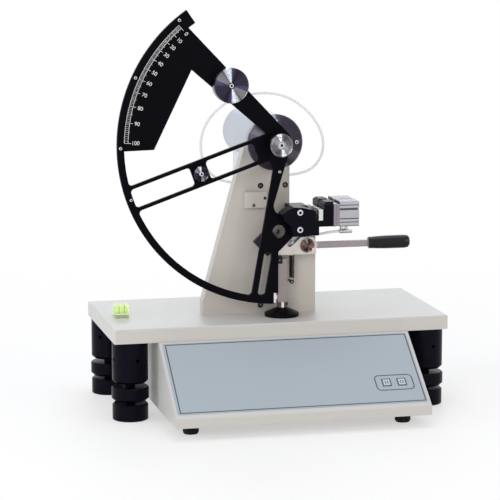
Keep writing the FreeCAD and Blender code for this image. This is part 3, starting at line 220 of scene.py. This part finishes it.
floor_reach = 30.0
shadow_reach = 0.42
shadow_fade = 0.9
near_glow = 0.5
pure_white = (1.0, 1.0, 1.0, 1.0)
floor_mesh = bpy.data.meshes.new("floor")
floor_mesh.from_pydata([(-floor_reach, -floor_reach, 0), (floor_reach, -floor_reach, 0),
                        (floor_reach, floor_reach, 0), (-floor_reach, floor_reach, 0)], [], [(0, 1, 2, 3)])
floor = bpy.data.objects.new("floor", floor_mesh)
bpy.context.scene.collection.objects.link(floor)
paper = finish("white_paper", floor)
paper.surface({"Base Color": tint(254, 249, 243), "Roughness": 0.55, "Specular IOR Level": 0.25})
away = paper.along("X").distance(paper.along("Y")) - shadow_reach
away = (away / shadow_fade).most(0.0).least(1.0)
glow_share = seen_ray(paper) * (near_glow + (1 - near_glow) * away)
lit_paper = Wire(paper.tree, paper.tree.nodes["Principled BSDF"].outputs[0])
glow = paper.node("ShaderNodeEmission", {}, {"Color": pure_white, "Strength": 1.0})
sheet = paper.node("ShaderNodeMixShader", {}, {0: glow_share, 1: lit_paper, 2: glow})
paper.plug(paper.tree.nodes["Material Output"], {"Surface": sheet})

# The room beyond the paper: white where the camera, metal or glass sees it, and elsewhere an even light
# from all sides, weaker and a little cool, as the walls of a studio give.
room = bpy.data.worlds.new("room")
room.use_nodes = True
bpy.context.scene.world = room
walls = Wire(room.node_tree, room.node_tree.nodes["Background"].outputs[0])
walls.plug(room.node_tree.nodes["Background"], {"Color": (0.95, 0.965, 1.0, 1.0), "Strength": 0.6})
white_walls = walls.node("ShaderNodeBackground", {}, {"Color": pure_white, "Strength": 1.0})
room_mix = walls.node("ShaderNodeMixShader", {}, {0: seen_ray(walls), 1: walls, 2: white_walls})
walls.plug(room.node_tree.nodes["World Output"], {"Surface": room_mix})


# The base plate: a thick steel slab, machined flat with a small chamfer round its upper edges and coated in
# warm white powder paint. The feet, the box and the pillar are all fixed to it.
def shade(colour, share):
    """The same colour with this share of its light."""
    return tuple(c * share for c in colour[:3]) + (1.0,)


def powder_paint(name, colour, *pieces):
    """Oven-cured powder paint: a fine orange-peel skin and faint clouds in its tone."""
    place = finish(name, *pieces)
    place.surface({
        "Base Color": place.noise(7.0, 4.0).mix(shade(colour, 0.95), colour),
        "Roughness": 0.36 + 0.12 * place.noise(40.0),
        "Normal": place.noise(1400.0, 3.0).bump(0.00006, 0.5),
        "Specular IOR Level": 0.4,
    })


powder_paint("plate_paint", tint(206, 202, 196), "base_plate")


# The feet: tubes under the plate's corners, pads on threaded studs that run up into them, and smooth lock
# rings. All are turned on a lathe and black all over, and a pin in the side holes turns tubes and rings.
def black_anodising(name, colour, gloss, *pieces):
    """A black skin on turned or milled metal, with fine specks and duller patches."""
    place = finish(name, *pieces)
    speck = place.noise(900.0, 3.0)
    place.surface({
        "Base Color": speck.mix(shade(colour, 0.7), colour),
        "Roughness": gloss + 0.14 * place.noise(60.0, 3.0),
        "Specular IOR Level": 0.07,
        "Normal": speck.bump(0.00003, 0.4),
    })
    return place


rings = ["foot_ring_" + corner for corner in ("front_left", "front_right", "back_left", "back_right")]
black_anodising("foot_anodising", tint(9, 8, 22), 0.22, "foot_tubes", "foot_pads", *rings)

# The control box: a cover folded from sheet steel and set under the plate, with a floor and a rear panel in
# the same paint.
powder_paint("box_paint", tint(205, 202, 196), "control_box_cover")
powder_paint("box_panel_paint", tint(200, 198, 194), "control_box_panels")

# The box's feet: four short buffers of black rubber under its floor, on which it stands. They are matt and
# a little dusty.
rubber = finish("buffer_rubber", "box_feet")
dust = rubber.noise(220.0, 5.0)
rubber.surface({"Base Color": dust.mix(tint(10, 10, 12), tint(24, 24, 27)), "Roughness": 0.75,
                "Specular IOR Level": 0.25, "Normal": dust.bump(0.0001, 0.5)})

# The membrane panel: a matt blue-grey film stuck on the sloping face, printed with a line round its edge
# and another round the two keys. Places on it are measured across the box and down from the slope's top.
cover_low, cover_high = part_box("control_box_cover")
slope_rise = 0.081
slope_run = 0.115
slope_length = math.hypot(slope_rise, slope_run)
slope_top_y = cover_low.y + slope_run
slope_top_z = cover_high.z
line_half = 0.0009
edge_line = {"left": -0.171, "right": 0.1725, "top": 0.0052, "bottom": 0.1305, "corner": 0.0006}
keys_line = {"left": 0.1095, "right": 0.1625, "top": 0.0815, "bottom": 0.1085, "corner": 0.0062}


def on_slope(place):
    """The distance across the panel and the distance down it from the slope's upper edge."""
    down = (slope_top_y - place.along("Y")) * (slope_run / slope_length)
    down = down + (slope_top_z - place.along("Z")) * (slope_rise / slope_length)
    return place.along("X"), down


def outside(across, down, left, right, top, bottom, corner):
    """How far a place on the panel lies outside a rectangle with rounded corners, below 0 inside it."""
    reach_x = abs(across - (left + right) / 2) - ((right - left) / 2 - corner)
    reach_s = abs(down - (top + bottom) / 2) - ((bottom - top) / 2 - corner)
    far = reach_x.most(0.0).distance(reach_s.most(0.0))
    near = reach_x.most(reach_s).least(0.0)
    return far + near - corner


film = finish("membrane_film", "panel_overlay")
film_x, film_s = on_slope(film)
on_edge_line = abs(outside(film_x, film_s, **edge_line)) < line_half
on_keys_line = abs(outside(film_x, film_s, **keys_line)) < line_half
film_colour = film.noise(5.0, 3.0).mix(tint(165, 172, 177), tint(171, 178, 183))
film_grain = film.noise(2600.0)
film.surface({
    "Base Color": on_edge_line.most(on_keys_line).mix(film_colour, tint(76, 88, 96)),
    "Roughness": 0.42 + 0.1 * film_grain,
    "Normal": film_grain.bump(0.00002, 0.5),
    "Specular IOR Level": 0.35,
})

# The keys: two domes pressed up in the film, one that works the clamps and one that releases the pendulum.
# Each is printed with a dark border and a plain sign, two bars for the clamps and a ring for the release.
key_places = {"clamp_key": 0.1248, "release_key": 0.1466}
key_down = 0.0946
key_half_x = 0.0063
key_half_s = 0.0069
key_corner = 0.0015
key_border = 0.0016
bar_offset = 0.0016
bar_half = 0.0007
bar_reach = 0.0026
sign_ring = 0.0023
sign_ring_half = 0.0006
for key, key_x in key_places.items():
    key_film = finish(key + "_film", key)
    across, down = on_slope(key_film)
    across = across - key_x
    down = down - key_down
    rim = outside(across, down, -key_half_x, key_half_x, -key_half_s, key_half_s, key_corner) > -key_border
    if key == "clamp_key":
        sign = (abs(abs(across) - bar_offset) < bar_half) * (abs(down) < bar_reach)
    else:
        sign = abs(across.distance(down) - sign_ring) < sign_ring_half
    key_grain = key_film.noise(2600.0)
    key_film.surface({"Base Color": rim.most(sign).mix(tint(190, 196, 200), tint(72, 82, 90)),
                      "Roughness": 0.4 + 0.1 * key_grain, "Normal": key_grain.bump(0.00002, 0.5)})

# Inside the box: a circuit board in green lacquer, on four stand-offs behind the panel. On the box's floor
# are a power supply in a slotted aluminium case and an air valve on its milled aluminium block.
board = finish("solder_mask", "circuit_board")
tracks = board.node("ShaderNodeTexWave", {"bands_direction": "X"},
                    {"Vector": board, "Scale": 160.0, "Distortion": 6.0, "Detail": 3.0}, out=1)
board.surface({"Base Color": tracks.mix(tint(18, 78, 38), tint(34, 104, 56)),
               "Roughness": 0.35 + 0.1 * tracks})


def aluminium_tone(place, colour):
    """Fine specks and wider stains in the metal's colour."""
    speck = place.noise(1600.0, 4.0)
    stain = place.noise(55.0, 4.0)
    return (0.6 * speck + 0.4 * stain).mix(shade(colour, 0.72), colour)


def bare_aluminium(name, colour, *pieces):
    """Milled and blasted aluminium: a soft sheen, broken by handling."""
    place = finish(name, *pieces)
    place.surface({
        "Base Color": aluminium_tone(place, colour),
        "Metallic": 0.85,
        "Roughness": 0.34 + 0.18 * place.noise(55.0, 4.0),
        "Normal": place.noise(1600.0, 4.0).bump(0.00003, 0.5),
    })
    return place


bare_aluminium("cast_aluminium", tint(196, 198, 202), "power_supply", "air_valve")


# At the back: a mains inlet and a rocker switch moulded in black plastic, and a nickel-plated inlet for the
# air hose, turned and bored. All are let into the rear panel.
def moulded_black(name, *pieces):
    """Black plastic as it leaves the mould, with a fine grain."""
    place = finish(name, *pieces)
    skin = place.noise(1500.0)
    place.surface({
        "Base Color": place.noise(30.0).mix(tint(9, 9, 13), tint(15, 15, 20)),
        "Roughness": 0.28 + 0.16 * skin,
        "Normal": skin.bump(0.00003, 0.4),
        "Specular IOR Level": 0.25,
    })


def plated_steel(name, colour, *pieces):
    """Nickel-plated or ground steel: finely mottled, with a few dull patches."""
    place = finish(name, *pieces)
    mottle = place.noise(420.0, 5.0)
    place.surface({
        "Base Color": mottle.mix(shade(colour, 0.82), colour),
        "Metallic": 1.0,
        "Roughness": 0.2 + 0.16 * place.noise(90.0, 3.0),
        "Normal": mottle.bump(0.00002, 0.4),
    })


moulded_black("inlet_plastic", "power_inlet", "power_rocker")
plated_steel("nickel_plate", tint(214, 214, 216), "air_inlet")

# The bubble level: a block of clear yellow-green acrylic on the plate, bored from its side for a vial of
# dyed spirit. The vial carries a printed black ring at each end of the bubble's place.
level_acrylic = finish("level_acrylic", "level_block")
# The acrylic glows faintly in its own colour, a painted glow.
level_acrylic.surface({
    "Base Color": level_acrylic.noise(60.0).mix(tint(234, 246, 200), tint(244, 251, 222)),
    "Roughness": 0.08, "Transmission Weight": 0.82, "IOR": 1.15,
    "Emission Color": tint(236, 248, 205), "Emission Strength": 0.1,
})
# The spirit glows faintly in its own colour too, a painted glow.
spirit = finish("vial_fluid", "level_vial")
spirit_colour = spirit.noise(40.0).mix(tint(210, 236, 108), tint(224, 245, 150))
spirit.surface({"Base Color": spirit_colour, "Roughness": 0.06, "Transmission Weight": 0.2,
                "Coat Weight": 0.6, "Emission Color": spirit_colour, "Emission Strength": 0.12})
vial_low, vial_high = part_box("level_vial")
vial_y = (vial_low.y + vial_high.y) / 2
vial_z = (vial_low.z + vial_high.z) / 2
vial_radius = (vial_high.z - vial_low.z) / 2
vial_ring_places = (vial_low.x + 0.0045, vial_high.x - 0.0055)
vial_ring_width = 0.0007
vial_ring_height = 0.00035
vial_ring_sunk = 0.0002
vial_ring_sides = 32
crease = math.radians(35)


def new_piece(name, mesh_maker):
    """A new piece from a bmesh, smooth on its curves."""
    mesh = bmesh.new()
    mesh_maker(mesh)
    data = bpy.data.meshes.new(name)
    bmesh.ops.recalc_face_normals(mesh, faces=mesh.faces)
    mesh.to_mesh(data)
    mesh.free()
    data.shade_smooth()
    piece = bpy.data.objects.new(name, data)
    bpy.context.scene.collection.objects.link(piece)
    return piece


def ring_faces(mesh, rows, closed=False):
    """Quads between rows of points that each go round a section, with end caps unless the rows close."""
    loops = [[mesh.verts.new(p) for p in row] for row in rows]
    pairs = list(zip(loops, loops[1:])) + ([(loops[-1], loops[0])] if closed else [])
    for a, b in pairs:
        for k in range(len(a)):
            mesh.faces.new((a[k], a[(k + 1) % len(a)], b[(k + 1) % len(b)], b[k]))
    if not closed:
        mesh.faces.new(loops[0][::-1])
        mesh.faces.new(loops[-1])


def vial_rings(mesh):
    turns = [k * math.tau / vial_ring_sides for k in range(vial_ring_sides)]
    section = ((0, 0), (vial_ring_width, 0), (vial_ring_width, vial_ring_height), (0, vial_ring_height))
    for ring_x in vial_ring_places:
        rows = []
        for dx, rise in section:
            radius = vial_radius - vial_ring_sunk + rise
            rows.append([(ring_x + dx, vial_y + radius * math.cos(a), vial_z + radius * math.sin(a))
                         for a in turns])
        ring_faces(mesh, rows, closed=True)


vial_marks = new_piece("vial_marks", vial_rings)
vial_marks.data.set_sharp_from_angle(angle=crease)
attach(vial_marks, "stand")
vial_ink = finish("vial_ink", vial_marks)
vial_ink.surface({"Base Color": vial_ink.noise(300.0).mix(tint(12, 14, 12), tint(30, 34, 26)),
                  "Roughness": 0.5})

# The pillar and the column: a thick machined plate with a saddle for the barrel, and a square tube behind
# it. Both are filled and painted, and so is the cover plate of the sensor's connector on the pillar.
powder_paint("pillar_paint", tint(201, 195, 187), "pillar_plate")
powder_paint("column_paint", tint(222, 224, 228), "rear_column")
powder_paint("sensor_cover_paint", tint(204, 199, 191), "sensor_cover")

# The screws: black socket screws on the stand, bright ones on the barrel's flange and on the pendulum. The
# bright ones have their sockets darkened with painted shade, and the black ones are worn bright where the
# key turned.
socket_share = 0.52
flange_screws_from = 0.343
sight_screw_x = 0.0015
sight_screw_z = 0.2535
sight_screw_reach_x = 0.006
sight_screw_reach_z = 0.007


def screw_heads(node):
    """The middle of each screw in X and Z and half its width, from the node's loose parts."""
    mesh = bmesh.new()
    mesh.from_mesh(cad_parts[node].data)
    bmesh.ops.remove_doubles(mesh, verts=mesh.verts, dist=1e-6)
    waiting = set(mesh.verts)
    heads = []
    while waiting:
        reached = [waiting.pop()]
        for corner in reached:
            for edge in corner.link_edges:
                other = edge.other_vert(corner)
                if other in waiting:
                    waiting.remove(other)
                    reached.append(other)
        across = [corner.co.x for corner in reached]
        upright = [corner.co.z for corner in reached]
        half = min(max(across) - min(across), max(upright) - min(upright)) / 2
        heads.append(((min(across) + max(across)) / 2, (min(upright) + max(upright)) / 2, half))
    mesh.free()
    return heads


def screw_steel(name, node, bright_above):
    """Socket screws, bright above this height and by the pendulum's sight hole, and black elsewhere."""
    place = finish(name, node)
    x = place.along("X")
    z = place.along("Z")
    reach = None
    for head_x, head_z, half in screw_heads(node):
        from_middle = ((x - head_x) / half).distance((z - head_z) / half)
        reach = from_middle if reach is None else reach.least(from_middle)
    is_socket = reach < socket_share
    by_sight_hole = abs(x - sight_screw_x) < sight_screw_reach_x
    by_sight_hole = by_sight_hole * (abs(z - sight_screw_z) < sight_screw_reach_z)
    is_bright = (z > bright_above).most(by_sight_hole)
    oil = place.noise(700.0, 3.0)
    head = is_bright.mix(tint(26, 25, 30), oil.mix(tint(196, 194, 199), tint(232, 231, 235)))
    # Painted shade darkens the bright screws' sockets, and the black screws' sockets are worn bright.
    socket = is_bright.mix(tint(120, 118, 124), tint(24, 22, 28))
    place.surface({"Base Color": is_socket.mix(head, socket), "Metallic": 0.85,
                   "Roughness": 0.24 + 0.2 * oil})


screw_steel("stand_screw_steel", "stand_screws", flange_screws_from)
screw_steel("pendulum_screw_steel", "pendulum_screws", 0.0)


# The bearing barrel: a turned aluminium tube with a blue-grey finish and a cap at the back, held in the
# pillar's saddle. It carries the shaft on two bearings. Its flange and the pendulum's hub are faced on a
# lathe, whose fine grooves spread the lamps' highlights into a fan, and brighter rays are also painted into
# their colour as a painted fan highlight.
def turned_normal(place, x, z, groove, steepness):
    """The surface's own direction, tipped in and out from the middle by the tool's grooves."""
    radius = x.maths("SQRT", x * x + z * z + 1e-9)
    tip = radius.maths("SINE", radius * (math.tau / groove)) * steepness / radius
    tipped = place.node("ShaderNodeCombineXYZ", {}, {0: x * tip, 1: 0.0, 2: z * tip})
    tipped = tipped.node("ShaderNodeVectorTransform", {"vector_type": "NORMAL", "convert_from": "OBJECT",
                                                       "convert_to": "WORLD"}, {0: tipped})
    own = place.node("ShaderNodeNewGeometry", out=1)
    return own.node("ShaderNodeVectorMath", {"operation": "NORMALIZE"}, {0: own + tipped})


def fan(x, z):
    """A painted highlight at this place round the middle: two wide bright rays and two faint ones."""
    turn = z.maths("FRACT", z.maths("ARCTAN2", z, x) / math.pi)
    stops = [(0.0, 0.0), (0.485, 0.0), (0.53, 1.0), (0.635, 1.0), (0.685, 0.08), (0.72, 0.34), (0.85, 0.3),
             (0.895, 0.0)]
    return turn.node("ShaderNodeValToRGB", {"stops": stops}, {0: turn})


def faced(place, middle_x, middle_z, colours, groove, steepness, gloss):
    """Metal faced round this middle: rings between the first two colours, under a painted highlight in rays
    of the third.
    """
    dull, bright, painted_ray = colours
    x = place.along("X") - middle_x
    z = place.along("Z") - middle_z
    bands = x.distance(z).tool_marks(1400.0, 4.0)
    place.surface({
        "Base Color": fan(x, z).mix(bands.mix(dull, bright), painted_ray),
        "Metallic": 1.0,
        "Roughness": gloss + 0.1 * bands,
        "Normal": turned_normal(place, x, z, groove, steepness),
    })


def faced_piece(name, piece, middle, colour, painted_ray, groove, steepness, gloss):
    faced(finish(name, piece), *middle, (shade(colour, 0.7), colour, painted_ray), groove, steepness, gloss)


pivot_z = 0.3777
pivot = (0.0, pivot_z)
barrel = finish("barrel_anodising", "bearing_barrel", "barrel_cap")
turning = barrel.along("Y").tool_marks(2400.0)
barrel.surface({
    "Base Color": barrel.noise(14.0, 3.0).mix(tint(180, 184, 191), tint(196, 199, 205)),
    "Metallic": 0.15, "Roughness": 0.34 + 0.12 * turning, "Normal": turning.bump(0.00003, 0.4),
})
# The last colour given to the flange and to the hub is the painted fan highlight.
faced_piece("flange_facing", "barrel_flange", pivot, tint(108, 100, 116), tint(206, 200, 206),
            0.00043, 0.3, 0.26)
plated_steel("bearing_steel", tint(190, 190, 194), "shaft_bearings", "pivot_shaft")
moulded_black("encoder_plastic", "angle_encoder")
faced_piece("hub_facing", "pivot_hub", pivot, tint(138, 132, 138), tint(238, 236, 238), 0.00037, 0.45, 0.14)
black_anodising("boss_anodising", tint(12, 12, 18), 0.22, "hub_boss")

# The pendulum: one plate cut from hard aluminium sheet and anodised black, with its cut edges a shade
# paler. One screw in the hub clamps it between the hub's boss and the shaft's collar.
sheet_black = finish("sheet_anodising", "pendulum_plate")
sheet_speck = sheet_black.noise(1100.0, 3.0)
facing = sheet_black.node("ShaderNodeVectorTransform",
                          {"vector_type": "NORMAL", "convert_from": "WORLD", "convert_to": "OBJECT"},
                          {0: sheet_black.node("ShaderNodeNewGeometry", out=1)})
cut_edge = abs(facing.along("Y")) < 0.5
sheet_black.surface({
    "Base Color": cut_edge.mix(sheet_speck.mix(tint(3, 3, 8), tint(7, 6, 13)), tint(30, 29, 36)),
    "Roughness": 0.34 + 0.14 * sheet_black.noise(35.0, 3.0),
    "Specular IOR Level": 0.05,
    "Normal": sheet_speck.bump(0.00002, 0.4),
})

# The scale: a thin black plate screwed on the sector, with its marks and figures printed in white. The
# marks follow the pendulum's swing, so they crowd together where it swings furthest.
scale_black = finish("scale_anodising", "scale_plate")
scale_black.surface({
    "Base Color": scale_black.noise(1300.0, 3.0).mix(tint(3, 3, 7), tint(6, 6, 11)),
    "Roughness": 0.36 + 0.12 * scale_black.noise(30.0, 3.0), "Specular IOR Level": 0.05,
})
scale_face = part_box("scale_plate")[0].y
print_thick = 0.00005
start_swing = 72.0
end_swing = 23.6
swing_offset = 22.0
outer_arc = 0.217
inner_arc = 0.2118
arc_half = 0.0003
arc_steps = 60
unit_mark = (inner_arc, 0.00014)
five_mark = (0.2098, 0.0002)
ten_mark = (0.2076, 0.00026)
figure_arc = 0.2014
figure_size = 0.0077


def scale_angle(reading):
    """The place of a reading round the pivot, in radians from +X towards +Z, seen from the front."""
    start = math.cos(math.radians(start_swing))
    end = math.cos(math.radians(end_swing))
    swing = math.degrees(math.acos(start + reading / 100 * (end - start))) - swing_offset
    return math.pi - math.radians(swing)


def on_dial(radius, angle):
    return radius * math.cos(angle), pivot_z + radius * math.sin(angle)


def flat_patch(mesh, corners):
    """A thin printed patch on the scale: corners in X and Z, a little proud of the plate."""
    front = [mesh.verts.new((x, scale_face - print_thick, z)) for x, z in corners]
    back = [mesh.verts.new((x, scale_face + print_thick, z)) for x, z in corners]
    mesh.faces.new(front)
    mesh.faces.new(back[::-1])
    for k in range(len(corners)):
        after = (k + 1) % len(corners)
        mesh.faces.new((front[k], back[k], back[after], front[after]))


def scale_marks(mesh):
    for reading in range(101):
        angle = scale_angle(reading)
        low, half = ten_mark if reading % 10 == 0 else five_mark if reading % 5 == 0 else unit_mark
        side_x = -math.sin(angle) * half
        side_z = math.cos(angle) * half
        x0, z0 = on_dial(low, angle)
        x1, z1 = on_dial(outer_arc, angle)
        flat_patch(mesh, [(x0 - side_x, z0 - side_z), (x1 - side_x, z1 - side_z),
                          (x1 + side_x, z1 + side_z), (x0 + side_x, z0 + side_z)])
    first = scale_angle(0)
    last = scale_angle(100)
    for radius in (outer_arc, inner_arc):
        for k in range(arc_steps):
            a = first + (last - first) * k / arc_steps
            b = first + (last - first) * (k + 1) / arc_steps
            flat_patch(mesh, [on_dial(radius - arc_half, a), on_dial(radius + arc_half, a),
                              on_dial(radius + arc_half, b), on_dial(radius - arc_half, b)])


white_marks = new_piece("scale_marks", scale_marks)
white_marks.data.set_sharp_from_angle(angle=crease)
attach(white_marks, "pendulum")
scale_prints = [white_marks]
for reading in range(0, 101, 10):
    letters = bpy.data.curves.new("scale_figure", "FONT")
    letters.body = str(reading)
    letters.size = figure_size
    letters.extrude = print_thick
    letters.align_x = "CENTER"
    letters.align_y = "CENTER"
    figure = bpy.data.objects.new("scale_figure_%d" % reading, letters)
    figure_x, figure_z = on_dial(figure_arc, scale_angle(reading))
    figure.location = (figure_x, scale_face, figure_z)
    figure.rotation_euler = Euler((math.pi / 2, math.pi - scale_angle(reading), 0))
    bpy.context.scene.collection.objects.link(figure)
    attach(figure, "pendulum")
    scale_prints.append(figure)
white_ink = finish("white_ink", *scale_prints)
white_ink.surface({"Base Color": white_ink.noise(400.0).mix(tint(216, 216, 214), tint(240, 240, 238)),
                   "Roughness": 0.6})

# The weights: two steel discs, a big one screwed to the pendulum's arm and a small one to its spoke's pad.
# Both are turned, faced on a lathe and left bare, with a painted fan highlight on their faces.
big_weight = (-0.06884, 0.46092)
small_weight = (-0.11002, 0.33896)
between_weights = 0.40
weights = finish("weight_facing", "counterweights")
is_big = weights.along("Z") > between_weights
weight_x = is_big * (big_weight[0] - small_weight[0]) + small_weight[0]
weight_z = is_big * (big_weight[1] - small_weight[1]) + small_weight[1]
# The last colour is the painted highlight in the fan's rays.
weight_colours = (tint(52, 47, 64), tint(72, 67, 84), tint(226, 224, 226))
faced(weights, weight_x, weight_z, weight_colours, 0.00037, 0.45, 0.15)

# The clamps: milled aluminium bodies, anodised black, with ground steel plates and jaws. Each has a short
# air cylinder of drawn aluminium with slots. One clamp is on the pendulum and one bolted to the pillar.
black_anodising("clamp_anodising", tint(10, 8, 21), 0.2, "moving_clamp_body", "fixed_clamp_body")
plated_steel("clamp_plate_steel", tint(152, 144, 153), "moving_clamp_plates", "fixed_clamp_plates")
plated_steel("jaw_steel", tint(226, 226, 226), "moving_jaw", "fixed_jaw_slide")
cylinder_colour = tint(190, 189, 194)
slot_depth = 0.0005
for cylinder in ("moving_clamp_cylinder", "fixed_clamp_cylinder"):
    drawn = bare_aluminium(cylinder + "_aluminium", cylinder_colour, cylinder)
    low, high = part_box(cylinder)
    y = drawn.along("Y")
    z = drawn.along("Z")
    slot_shade_mask = (y > low.y + slot_depth) * (y < high.y - slot_depth)
    slot_shade_mask = slot_shade_mask * (z > low.z + slot_depth) * (z < high.z - slot_depth)
    slot_shade_mask = slot_shade_mask * (drawn.along("X") < high.x - slot_depth)
    # The slots are painted darker than the cylinder, a painted shade in their hollows.
    drawn.surface({"Base Color": slot_shade_mask.mix(aluminium_tone(drawn, cylinder_colour), tint(96, 92, 102))})

# The knife: a thin ground blade on a cranked steel carrier, which slides on a guide pin behind the lever.
# The lever's slanted slot raises it between the clamps, where it cuts the start of the tear.
plated_steel("carrier_steel", tint(168, 166, 172), "knife_carrier")
plated_steel("blade_steel", tint(222, 222, 226), "knife_blade")

# The lever: a plate with its slot and bar, milled in aluminium, with a glossy black grip turned in plastic.
# It turns on a domed steel bolt, faced like the hub with a painted fan highlight, and the reddish tone of
# its steel is a painted reflection.
lever_bolt = (0.047, 0.230)
bar_start = 0.0615
lever = bare_aluminium("lever_aluminium", tint(190, 181, 182), "knife_lever_arm")
lever_speck = lever.noise(500.0, 4.0)
lever_plate = lever_speck.mix(tint(190, 186, 180), tint(216, 211, 204))
lever_bar = lever_speck.mix(tint(138, 129, 134), tint(168, 158, 164))
lever.surface({"Base Color": (lever.along("X") > bar_start).mix(lever_plate, lever_bar)})
grip = finish("grip_plastic", "lever_grip")
grip_wear = grip.noise(26.0, 3.0)
grip.surface({
    "Base Color": grip_wear.mix(tint(8, 8, 13), tint(14, 14, 20)),
    "Roughness": 0.2 + 0.12 * grip_wear, "Coat Weight": 0.15, "Specular IOR Level": 0.2,
    "Normal": grip.noise(1200.0).bump(0.00002, 0.3),
})
# The reddish tones are a painted reflection on the steel, and the last colour is the painted fan highlight.
faced_piece("bolt_facing", "lever_pivot", lever_bolt, tint(150, 116, 108), tint(238, 222, 216),
            0.0005, 0.3, 0.12)

# The release post: an aluminium bar on a turned foot, a black cone with a bright steel neck, down whose
# middle runs a painted reflection as a light stripe. A plastic stop is on top and the catch tooth in its
# side. The latch block, set on its corner and screwed to the pillar, is in the same group.
neck_rise = 0.0125
reflection_stripe_half = 0.0017
black_anodising("latch_anodising", tint(64, 59, 74), 0.3, "latch_block")
bare_aluminium("post_aluminium", tint(158, 148, 146), "release_post")
cone = black_anodising("post_foot_anodising", tint(9, 9, 13), 0.2, "post_foot")
cone_low, cone_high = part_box("post_foot")
is_neck = cone.along("Z") > cone_low.z + neck_rise
painted_reflection_stripe = abs(cone.along("X") - (cone_low.x + cone_high.x) / 2) < reflection_stripe_half
# The light stripe down the neck is a painted reflection.
neck_steel = painted_reflection_stripe.mix(tint(96, 82, 86), tint(238, 230, 228))
cone_black = cone.noise(900.0, 3.0).mix(tint(6, 6, 9), tint(9, 9, 13))
cone.surface({"Base Color": is_neck.mix(cone_black, neck_steel), "Metallic": 0.9 * is_neck})
moulded_black("stop_plastic", "lever_rest_block")
plated_steel("tooth_steel", tint(228, 228, 230), "catch_tooth")

# The return spring: steel wire wound in a close coil with a loop at each end, hooked on the lever above and
# on a pin below. It stretches when the grip is pressed down, and pulls the lever back.
spring_low, spring_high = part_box("return_spring")
spring_x = (spring_low.x + spring_high.x) / 2
spring_y = (spring_low.y + spring_high.y) / 2
wire_radius = 0.00042
wire_sides = 8
coil_radius = 0.0036
coil_turns = 24
coil_bottom = 0.1828
coil_top = 0.2145
steps_per_turn = 20
hook_radius = 0.00305
hook_inset = 0.00075
hook_steps = 16
hook_sweep = 320
low_hook_start = -250
high_hook_start = -70


def hook_loop(middle_z, start):
    """A loop of wire that faces the front, round this height and from this turn in degrees."""
    turns = [math.radians(start + hook_sweep * k / hook_steps) for k in range(hook_steps + 1)]
    return [Vector((spring_x + hook_radius * math.cos(a), spring_y, middle_z + hook_radius * math.sin(a)))
            for a in turns]


def up_coil(share):
    """The height at this share of the coil's length, from its bottom."""
    return coil_bottom + share * (coil_top - coil_bottom)


def spring_line():
    """The middle of the wire, from the lower loop through the coil to the upper loop."""
    points = hook_loop(spring_low.z + hook_radius + hook_inset, low_hook_start)
    steps = coil_turns * steps_per_turn
    for k in range(steps + 1):
        a = k * math.tau / steps_per_turn
        points.append(Vector((spring_x + coil_radius * math.cos(a), spring_y + coil_radius * math.sin(a),
                              up_coil(k / steps))))
    return points + hook_loop(spring_high.z - hook_radius - hook_inset, high_hook_start)


def spring_wire(mesh):
    line = spring_line()
    turns = [k * math.tau / wire_sides for k in range(wire_sides)]
    rows = []
    side = Vector((0, 1, 0))
    for k, point in enumerate(line):
        ahead = (line[min(k + 1, len(line) - 1)] - line[max(k - 1, 0)]).normalized()
        side = (side - ahead * side.dot(ahead)).normalized()
        up = ahead.cross(side)
        rows.append([point + wire_radius * (side * math.cos(a) + up * math.sin(a)) for a in turns])
    ring_faces(mesh, rows)


spring = new_piece("spring_coil", spring_wire)
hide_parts("return_spring")
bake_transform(spring)
plated_steel("spring_steel", tint(62, 52, 56), spring)

# The hoses: 4 mm polyurethane, milky and half clear, in plated fittings. One loops over the barrel from one
# side of the column to the other, and one feeds the fixed clamp's cylinder through the pillar.
hose_width = 0.004
loop_y = 0.0925
loop_points = [(-0.038, loop_y, 0.311), (-0.060, loop_y, 0.312), (-0.084, loop_y - 0.003, 0.336),
               (-0.090, loop_y - 0.005, 0.371), (-0.078, loop_y - 0.004, 0.404), (-0.045, loop_y, 0.431),
               (0.0, loop_y + 0.004, 0.440), (0.042, loop_y + 0.005, 0.434), (0.078, loop_y + 0.004, 0.407),
               (0.097, loop_y + 0.002, 0.372), (0.092, loop_y, 0.340), (0.068, loop_y, 0.320),
               (0.038, loop_y, 0.319)]
feed_points = [(0.0967, 0.0105, 0.2475), (0.083, 0.0109, 0.2464), (0.069, 0.012, 0.244),
               (0.056, 0.0145, 0.2422), (0.046, 0.0195, 0.2416), (0.039, 0.0285, 0.2412)]


def hose(name, points, node):
    line = bpy.data.curves.new(name, "CURVE")
    line.dimensions = "3D"
    line.bevel_depth = 1.0
    line.bevel_resolution = 5
    line.resolution_u = 16
    line.use_fill_caps = True
    run = line.splines.new("NURBS")
    run.points.add(len(points) - 1)
    for control, point in zip(run.points, points):
        control.co = (*point, 1.0)
        control.radius = hose_width / 2
    run.order_u = 3
    run.use_endpoint_u = True
    piece = bpy.data.objects.new(name, line)
    bpy.context.scene.collection.objects.link(piece)
    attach(piece, "stand")
    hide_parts(node)
    return piece


hoses = [hose("barrel_hose", loop_points, "loop_hose"),
         hose("clamp_feed_hose", feed_points, "clamp_hose")]
hose_skin = finish("milky_hose", *hoses)
hose_skin.surface({
    "Base Color": hose_skin.noise(80.0).mix(tint(230, 233, 235), tint(239, 241, 242)),
    "Roughness": 0.3, "Specular IOR Level": 0.3, "Alpha": 0.46,
})
plated_steel("fitting_nickel", tint(210, 208, 206), "hose_fittings")
